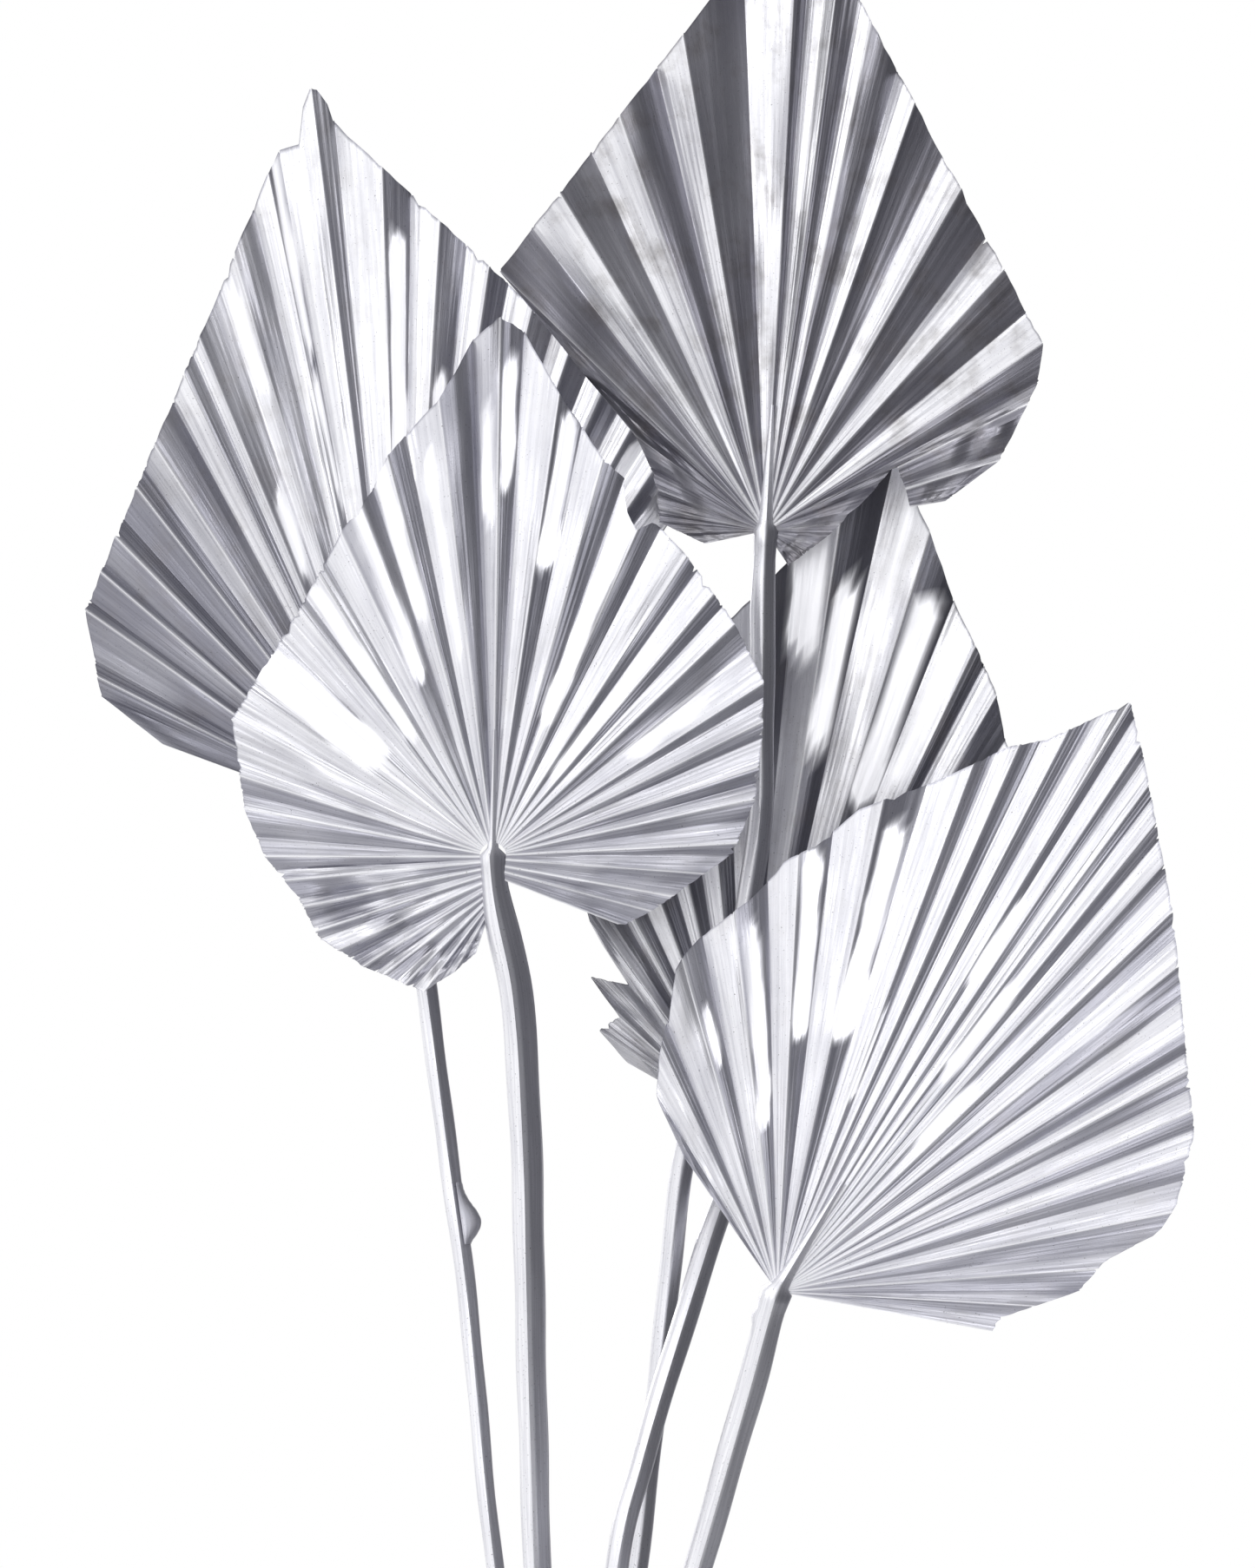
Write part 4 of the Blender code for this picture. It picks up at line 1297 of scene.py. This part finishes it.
@dataclass
class Studio:
    """Pale floor, soft lamps, white surround and the camera."""

    lamps: tuple[Lamp, ...]
    floor_height: float = -0.0464
    floor_radius: float = 0.52
    floor_clear: float = 0.20    # from here the floor fades
    floor_gone: float = 0.98     # part of its radius where nothing is left of it
    floor_sides: int = 96
    floor_rough: float = 0.95
    floor_shine: float = 0.1
    paper: tuple[str, str] = ("#f4f4f4", "#fbfbfb")
    paper_mm: float = 1.11       # real paper fibres are 0.03 wide, drawn coarser to show
    bank: tuple[float, float, float] = (-0.79, -0.46, 0.40)   # way to the bright side of the room
    bright: tuple[float, float, float, float] = (1.08, 1.08, 1.08, 1.0)
    dim: tuple[float, float, float, float] = (0.09, 0.09, 0.1017, 1.0)   # its far side, a little blue
    bank_edge: tuple[float, float] = (-0.35, 0.55)   # cosines to that way, from dim to bright
    backdrop: tuple[float, float] = (0.15, 0.75)     # cosines to the back, from none to full
    backdrop_seen: float = 0.8   # how much of the white backdrop mirrors show
    distance: float = 3.0
    sensor_mm: float = 36.0
    aim: tuple[float, float] = (0.0125, 0.2954)
    view_height: float = 0.3612

    def floor(self) -> None:
        """Lay a pale round floor that fades out at its edge."""
        made, tree, shader = new_material("matt_white_paper")
        place = add_node(tree, "TexCoord").outputs["Object"]
        far = add_node(tree, "VectorMath", {"operation": "LENGTH"}, {0: place}).outputs["Value"]
        gone = self.floor_radius * self.floor_gone
        fade = add_node(tree, "MapRange", {"From Min": self.floor_clear, "From Max": gone},
                        {"Value": far}).outputs[0]
        fibre = add_node(tree, "TexNoise", {"Scale": 1 / (self.paper_mm * MM), "Detail": 2.0},
                         {"Vector": place}).outputs[0]
        stops = tuple(zip((0.3, 0.7), self.paper))
        tone = add_node(tree, "ValToRGB", {"ramp": stops}, {0: fibre})
        tree.links.new(tone.outputs["Color"], shader.inputs["Base Color"])
        shader.inputs["Roughness"].default_value = self.floor_rough
        shader.inputs["Specular IOR Level"].default_value = self.floor_shine
        clear = add_node(tree, "BsdfTransparent").outputs[0]
        mixed = add_node(tree, "MixShader", links={0: fade, 1: shader.outputs[0], 2: clear}).outputs[0]
        tree.links.new(mixed, tree.nodes["Material Output"].inputs["Surface"])
        count = self.floor_sides
        turn = np.linspace(0, math.tau, count, endpoint=False)
        rim = np.stack((np.cos(turn), np.sin(turn), np.zeros(count)), axis=1) * self.floor_radius
        mesh = bpy.data.meshes.new("floor")
        mesh.from_pydata(rim.tolist(), [], [tuple(range(count))])
        mesh.materials.append(made)
        sheet = bpy.data.objects.new("floor", mesh)
        sheet.location = (0.0, 0.0, self.floor_height)
        bpy.context.scene.collection.objects.link(sheet)

    def world(self) -> None:
        """Room with a broad soft bank at the upper left, and a white backdrop."""
        made = bpy.data.worlds.new("white_studio")
        bpy.context.scene.world = made
        made.use_nodes = True
        tree = made.node_tree
        ray = add_node(tree, "LightPath")
        look = add_node(tree, "TexCoord").outputs["Generated"]
        way = add_node(tree, "SeparateXYZ", links={0: look})
        toward = add_node(tree, "VectorMath", {"operation": "DOT_PRODUCT", 1: self.bank},
                          {0: look}).outputs["Value"]
        low, high = self.bank_edge
        soft = add_node(tree, "MapRange", {"interpolation_type": "SMOOTHSTEP", "From Min": low,
                                           "From Max": high}, {"Value": toward}).outputs[0]
        room = add_node(tree, "Mix", {"data_type": "RGBA", 6: self.dim, 7: self.bright},
                        {0: soft}).outputs[2]
        start, full = self.backdrop
        behind = add_node(tree, "MapRange", {"From Min": start, "From Max": full,
                                             "To Max": self.backdrop_seen},
                          {"Value": way.outputs["Y"]}).outputs[0]
        mirror, glass = ray.outputs["Is Glossy Ray"], ray.outputs["Is Transmission Ray"]
        clear = add_node(tree, "Math", {"operation": "MAXIMUM"}, {0: mirror, 1: glass}).outputs[0]
        shown = add_node(tree, "Math", {"operation": "MULTIPLY"}, {0: clear, 1: behind}).outputs[0]
        white = add_node(tree, "Math", {"operation": "MAXIMUM"},
                         {0: ray.outputs["Is Camera Ray"], 1: shown}).outputs[0]
        tone = add_node(tree, "Mix", {"data_type": "RGBA", 7: (1.0, 1.0, 1.0, 1.0)},
                        {0: white, 6: room}).outputs[2]
        tree.links.new(tone, tree.nodes["Background"].inputs["Color"])

    def camera(self) -> None:
        """Stand the camera level in front, at the photograph's framing."""
        data = bpy.data.cameras.new("camera")
        data.sensor_width = self.sensor_mm
        data.lens = self.sensor_mm * self.distance / self.view_height
        data.clip_end = 20.0
        made = bpy.data.objects.new("camera", data)
        made.location = (self.aim[0], -self.distance, self.aim[1])
        made.rotation_euler = (math.pi / 2, 0.0, 0.0)
        bpy.context.scene.collection.objects.link(made)
        bpy.context.scene.camera = made

    def build(self) -> None:
        """Set up floor, lamps, surround and camera."""
        self.floor()
        for lamp in self.lamps:
            lamp.build()
        self.world()
        self.camera()
        bpy.context.scene.view_settings.view_transform = "Standard"


def leaves() -> tuple[PalmLeaf, ...]:
    """The five leaves, counter-clockwise round the tie from the right.

    Returns:
        The leaves with their sizes.
    """
    # Each leaf's finish has its own colour for the painted shade, and each fan its own painted shade by
    # angle and its own painted highlight patches
    return (
        PalmLeaf(
            name="front_right", base=(0.0466, -0.03, 0.1796), lean=30.9, pitch=0.0, turn=-2.0,
            fan=PleatedFan(
                margin=((-0.034, 0.0155), (-0.0465, 0.0239), (-0.051, 0.0328), (-0.0547, 0.0446),
                        (-0.058, 0.052), (-0.0568, 0.0597), (-0.0508, 0.075), (-0.0489, 0.0854),
                        (-0.0447, 0.092), (-0.0404, 0.1045), (-0.0277, 0.12), (-0.0185, 0.134),
                        (-0.0118, 0.14), (0.0, 0.157), (0.0112, 0.1455), (0.034, 0.1195), (0.0512, 0.096),
                        (0.063, 0.08), (0.068, 0.0643), (0.0676, 0.056), (0.0605, 0.0445), (0.059, 0.0357),
                        (0.047, 0.0214), (0.0468, 0.0176)),
                left_pleats=9, right_pleats=14, rim=0.0024, cup=0.003, curl=0.004, seed=11,
                spacing=((-8, -18.7), (-6, -10.5), (6, 8.0), (8, 11.2), (10, 15.2), (12, 20.0), (14, 26.4),
                         (16, 30.7), (18, 35.5), (20, 40.5)),
                lit_share=((-70, 0.74), (-44, 0.66), (-36, 0.5), (-14, 0.5), (-9, 0.58), (8, 0.58),
                           (13, 0.7), (17, 0.46), (30, 0.5), (70, 0.5)),
                snap=False,
                slope_share=((-70, 0.8), (-20, 0.95), (-10, 0.8), (0, 0.75), (15, 0.55), (40, 0.42),
                             (70, 0.36)),
                painted_shade_by_angle=((-66, 0.6), (-60, 0.0), (-14, 0.0), (-10, -0.12), (30, -0.12), (38, 0.15),
                           (50, 0.4), (70, 0.5)),
                highlight_patches=(HighlightPatch(-44.3, 0.053, 0.066, 0.0021), HighlightPatch(-34.9, 0.039, 0.083),
                       HighlightPatch(-25.6, 0.058, 0.1, 0.0046), HighlightPatch(-16.4, 0.06, 0.109, 0.0052),
                       HighlightPatch(-9.4, 0.048, 0.068, 0.0026), HighlightPatch(1.3, 0.084, 0.104, 0.0032, True),
                       HighlightPatch(7.0, 0.064, 0.087, 0.004, True), HighlightPatch(13.2, 0.046, 0.064, 0.0034, True))),
            stalk=Stalk(
                tie_place=(0.00405, -0.00132), tie_radius=0.0027, top_radius=0.0034, foot=0.044, seed=1,
                route=((0.01, -0.005, 0.05), (0.0284, -0.016, 0.1148), (0.0393, -0.0238, 0.153)),
                scar=(0.1733, -80.0, 0.0009), bend=0.1, neck=0.9, rib_width=0.6),
            finish=SprayedLeaf(
                "silver_spray_on_palm_leaf_bright", light="#ececf1", shade="#cacad1", painted_shade="#c4c4cb",
                bareness=0.15)),
        PalmLeaf(
            name="top_right", base=(0.0442, -0.005, 0.3536), lean=3.0, pitch=0.5, turn=3.0,
            fan=PleatedFan(
                margin=((-0.0138, -0.0037), (-0.0247, 0.0007), (-0.0255, 0.0081), (-0.0272, 0.013),
                        (-0.0314, 0.0205), (-0.0645, 0.0563), (0.0, 0.149), (0.0615, 0.0467),
                        (0.061, 0.0376), (0.053, 0.019), (0.041, 0.009)),
                left_pleats=9, right_pleats=9, rim=0.002, cup=0.002, curl=0.004, seed=23, contrast=0.95,
                spacing=((-8, -46.0), (-6, -34.5), (-4, -22.5), (-2, -12.5), (2, 4.5), (4, 8.7), (6, 16.2),
                         (8, 26.7), (10, 39.3), (12, 52.8)),
                tear_angle=59.0, tear_start=0.0337, shade_angle=-46.0, belly=0.18,
                lit_share=((-80, 0.3), (-40, 0.43), (-27, 0.5), (-17, 0.38), (-5, 0.4), (2, 0.66),
                           (7, 0.45), (13, 0.4), (22, 0.34), (46, 0.4), (58, 0.2), (80, 0.2)),
                slope_share=((-105, 0.5), (-60, 0.7), (-40, 1.1), (-10, 1.1), (5, 1.0), (45, 1.0),
                             (60, 0.7)),
                painted_shade_by_angle=((-60, 0.9), (-47, 0.7), (-41, -0.15), (-10, -0.15), (0, 0.0), (48, 0.0),
                           (53, 0.3), (57, 1.0)),
                vein_highlight_share=((-60, 0.2), (-40, 1.0))),
            scraps=(PleatedFan(
                margin=((0.0285, 0.0163), (0.025, 0.0112), (0.0148, -0.0002), (0.0058, -0.0078)),
                left_pleats=0, right_pleats=4, rim=0.0022, seed=29, lit_share=((60, 0.35), (150, 0.35)),
                painted_shade_by_angle=((60, 1.0), (150, 1.0)), slope_share=((60, 0.5), (150, 0.5)),
                vein_highlight_share=((60, 0.15), (150, 0.15)), cup=0.002, curl=0.004, half=0.0615, length=0.149,
                rows=14),),
            stalk=Stalk(
                tie_place=(0.00231, 0.00358), tie_radius=0.0021, top_radius=0.0029, foot=0.041, seed=2,
                route=((0.007, 0.006, 0.055), (0.0148, 0.008, 0.1148), (0.0206, 0.0092, 0.1664),
                       (0.0258, 0.0088, 0.21), (0.0356, 0.0025, 0.244), (0.0426, -0.004, 0.284),
                       (0.0434, -0.005, 0.316))),
            finish=SprayedLeaf(
                "silver_spray_on_palm_leaf_thin", light="#f4f4f8", shade="#d2d2d8", painted_shade="#98979e",
                bare="#5d554e", bareness=0.5)),
        PalmLeaf(
            name="rear_left", base=(-0.0394, 0.028, 0.284), lean=-7.2, pitch=-2.0, turn=-3.0,
            fan=PleatedFan(
                margin=((-0.053, 0.0275), (-0.066, 0.0405), (-0.0672, 0.061), (-0.0124, 0.157),
                        (-0.0094, 0.162), (-0.0036, 0.1631), (-0.0023, 0.1731), (-0.0008, 0.1752),
                        (0.0012, 0.1752), (0.0032, 0.1712), (0.0043, 0.1668), (0.0083, 0.1618),
                        (0.04, 0.124), (0.07, 0.086), (0.0745, 0.077), (0.071, 0.064), (0.054, 0.044),
                        (0.045, 0.0285)),
                left_pleats=11, right_pleats=11, rim=0.0016, cup=0.004, curl=0.004, seed=37,
                spacing=((-16, -42.0), (-14, -37.0), (-12, -30.5), (-10, -25.5), (-8, -18.5), (-6, -15.3),
                         (-4, -9.3)),
                lit_share=((-65, 0.82), (-36, 0.74), (-28, 0.5), (-22, 0.4), (-12, 0.42), (-6, 0.5),
                           (40, 0.5)),
                slope_share=((-40, 1.0), (-20, 0.9), (-13, 1.0), (-8, 0.5), (0, 0.6), (4, 0.9), (12, 0.9)),
                painted_shade_by_angle=((-60, 0.3), (-26, 0.35), (-20, -0.22), (8, -0.22), (38, -0.1), (42, 0.5)),
                roll_angle=40.5, roll_start=0.092, shade_angle=-32.0,
                highlight_patches=(HighlightPatch(-13.0, 0.064, 0.084, 0.003), HighlightPatch(-10.2, 0.108, 0.132, 0.003),
                       HighlightPatch(-4.5, 0.078, 0.11), HighlightPatch(-3.4, 0.115, 0.16, 0.0038),
                       HighlightPatch(6.5, 0.062, 0.139, 0.0048), HighlightPatch(11.8, 0.06, 0.106, 0.003),
                       HighlightPatch(39.4, 0.096, 0.106, 0.0075, True))),
            stalk=Stalk(
                tie_place=(-0.00188, 0.00382), tie_radius=0.0017, top_radius=0.0025, foot=0.042, seed=3,
                route=((-0.0085, 0.006, 0.055), (-0.0182, 0.01, 0.1148), (-0.0244, 0.016, 0.175),
                       (-0.0293, 0.021, 0.211), (-0.0338, 0.025, 0.245))),
            sheath=DrySheath(),
            finish=SprayedLeaf(
                "silver_spray_on_palm_leaf_even", light="#f2f2f6", shade="#d6d6dc", painted_shade="#9a9aa2",
                bareness=0.25)),
        PalmLeaf(
            name="front_left", base=(-0.0183, -0.018, 0.279), lean=0.8, pitch=4.0, turn=0.0,
            fan=PleatedFan(
                margin=((-0.0036, -0.0225), (-0.0086, -0.027), (-0.0155, -0.0317), (-0.0295, -0.0258),
                        (-0.0395, -0.0198), (-0.0444, -0.0106), (-0.0524, -0.001), (-0.0572, 0.01),
                        (-0.0604, 0.0304), (-0.0452, 0.0557), (-0.0358, 0.0736), (-0.0285, 0.0837),
                        (-0.0254, 0.0913), (-0.0138, 0.1043), (-0.0063, 0.1179), (0.0, 0.1236),
                        (0.0056, 0.12), (0.0138, 0.1062), (0.024, 0.0913), (0.029, 0.087), (0.0288, 0.0832),
                        (0.0298, 0.0788), (0.0321, 0.0753), (0.0345, 0.0765), (0.0359, 0.077),
                        (0.0434, 0.0695), (0.0547, 0.054), (0.0616, 0.0405), (0.0614, 0.0277),
                        (0.06, 0.0138), (0.055, 0.001), (0.0366, -0.0123), (0.03, -0.0158)),
                left_pleats=21, right_pleats=15, rim=0.003, cup=-0.002, curl=0.003, seed=53, ear_drop=0.018,
                ear_close=0.0016, crinkle_angle=-95.0,
                lit_share=((-170, 0.5), (-75, 0.6), (-40, 0.66), (-12, 0.62), (0, 0.55), (30, 0.6),
                           (100, 0.5)),
                slope_share=((-120, 1.0), (-95, 0.7), (-70, 0.35), (-40, 0.45), (-12, 0.85), (5, 0.85),
                             (20, 0.65), (45, 0.7), (60, 0.55), (120, 0.5)),
                painted_shade_by_angle=((-120, 0.4), (-95, 0.5), (-78, 0.5), (-68, -0.3), (-60, -0.4), (-30, -0.4),
                           (-10, 0.0), (-5, 0.0), (-4, 0.7), (0, 0.7), (1, 0.0), (46, 0.0), (58, 0.5),
                           (100, 0.6)),
                highlight_patches=(HighlightPatch(-50.8, 0.035, 0.073, 0.0086, True), HighlightPatch(-33.5, 0.033, 0.073),
                       HighlightPatch(-21.2, 0.044, 0.085, 0.0037), HighlightPatch(-16.6, 0.057, 0.093, 0.004),
                       HighlightPatch(-12.2, 0.045, 0.093, 0.0026), HighlightPatch(-2.8, 0.078, 0.102, 0.0025),
                       HighlightPatch(1.8, 0.085, 0.113), HighlightPatch(10.2, 0.068, 0.102, 0.006),
                       HighlightPatch(20.8, 0.034, 0.089, 0.006), HighlightPatch(36.8, 0.024, 0.06, 0.005),
                       HighlightPatch(50.6, 0.04, 0.06))),
            stalk=Stalk(
                tie_place=(-0.00425, -0.00035), tie_radius=0.0027, top_radius=0.0039, foot=0.046, seed=4,
                route=((-0.0066, -0.003, 0.055), (-0.0082, -0.007, 0.1148), (-0.0096, -0.0105, 0.166),
                       (-0.0106, -0.014, 0.211), (-0.0129, -0.0165, 0.247)),
                neck=0.66, right_flat=0.6, rib_width=0.4),
            finish=SprayedLeaf(
                "silver_spray_on_palm_leaf_heavy", light="#f0f0f5", shade="#d2d2d9", painted_shade="#b4b4bb",
                bareness=0.12)),
        PalmLeaf(
            name="rear_right", base=(0.0396, 0.017, 0.2156), lean=12.6, pitch=2.5, turn=0.0,
            fan=PleatedFan(
                margin=((-0.03, 0.009), (-0.038, 0.015), (-0.034, 0.019), (-0.0426, 0.0266),
                        (-0.0336, 0.0267), (-0.0447, 0.0378), (-0.06, 0.066), (0.0, 0.16), (0.0116, 0.1445),
                        (0.0206, 0.13), (0.0277, 0.121), (0.035, 0.111), (0.0393, 0.101), (0.062, 0.066),
                        (0.05, 0.038), (0.038, 0.022)),
                left_pleats=10, right_pleats=8, rim=0.002, seed=67, axis_ridge=False, contrast=0.85,
                lit_share=((-70, 0.45), (-20, 0.45), (0, 0.58), (40, 0.6)),
                slope_share=((-20, 1.0), (0, 0.8), (30, 0.8)),
                painted_shade_by_angle=((-70, 0.0), (-13, 0.0), (-9, 0.6), (-5, 0.6), (-2.5, -0.1), (0, -0.2),
                           (40, -0.2)),
                highlight_patches=(HighlightPatch(-1.5, 0.09, 0.128, 0.0066), HighlightPatch(-5.9, 0.112, 0.147, 0.0085, True),
                       HighlightPatch(2.6, 0.12, 0.155, 0.004), HighlightPatch(6.2, 0.08, 0.13, 0.0066),
                       HighlightPatch(10.5, 0.088, 0.124, 0.004))),
            stalk=Stalk(
                tie_place=(-0.00049, -0.00423), tie_radius=0.0023, top_radius=0.0029, foot=0.043, seed=5,
                route=((0.002, -0.008, 0.05), (0.01, -0.0098, 0.1148), (0.0158, -0.0065, 0.1396),
                       (0.0239, -0.001, 0.1664), (0.0315, 0.007, 0.19))),
            finish=SprayedLeaf(
                "silver_spray_on_palm_leaf_grey", light="#fbfbff", shade="#dcdce2", painted_shade="#76767d",
                bareness=0.25, highlight_facing=(-0.08, -0.99, -0.02))),
    )


def main() -> None:
    """Build the bunch and its studio in order."""
    logging.basicConfig(level=logging.INFO, format="%(message)s")
    stem = SprayedStem("silver_spray_on_palm_stem").build()
    bunch = leaves()
    for leaf in bunch:
        leaf.build(stem)
    stems = tuple((*leaf.stalk.tie_place, leaf.stalk.tie_radius) for leaf in bunch)
    TwineTie(stems).build(SpunJute("spun_jute").build())
    Studio(lamps=(
        Lamp("key", (-1.45, -1.30, 1.05), (0.40, 0.40), 5.0),
        Lamp("front_fill", (0.1, -2.6, 0.75), (0.7, 0.7), 8.0),
        Lamp("back_light", (-1.0, 1.5, 0.9), (0.6, 0.9), 10.0),
    )).build()


if __name__ == "__main__":
    main()
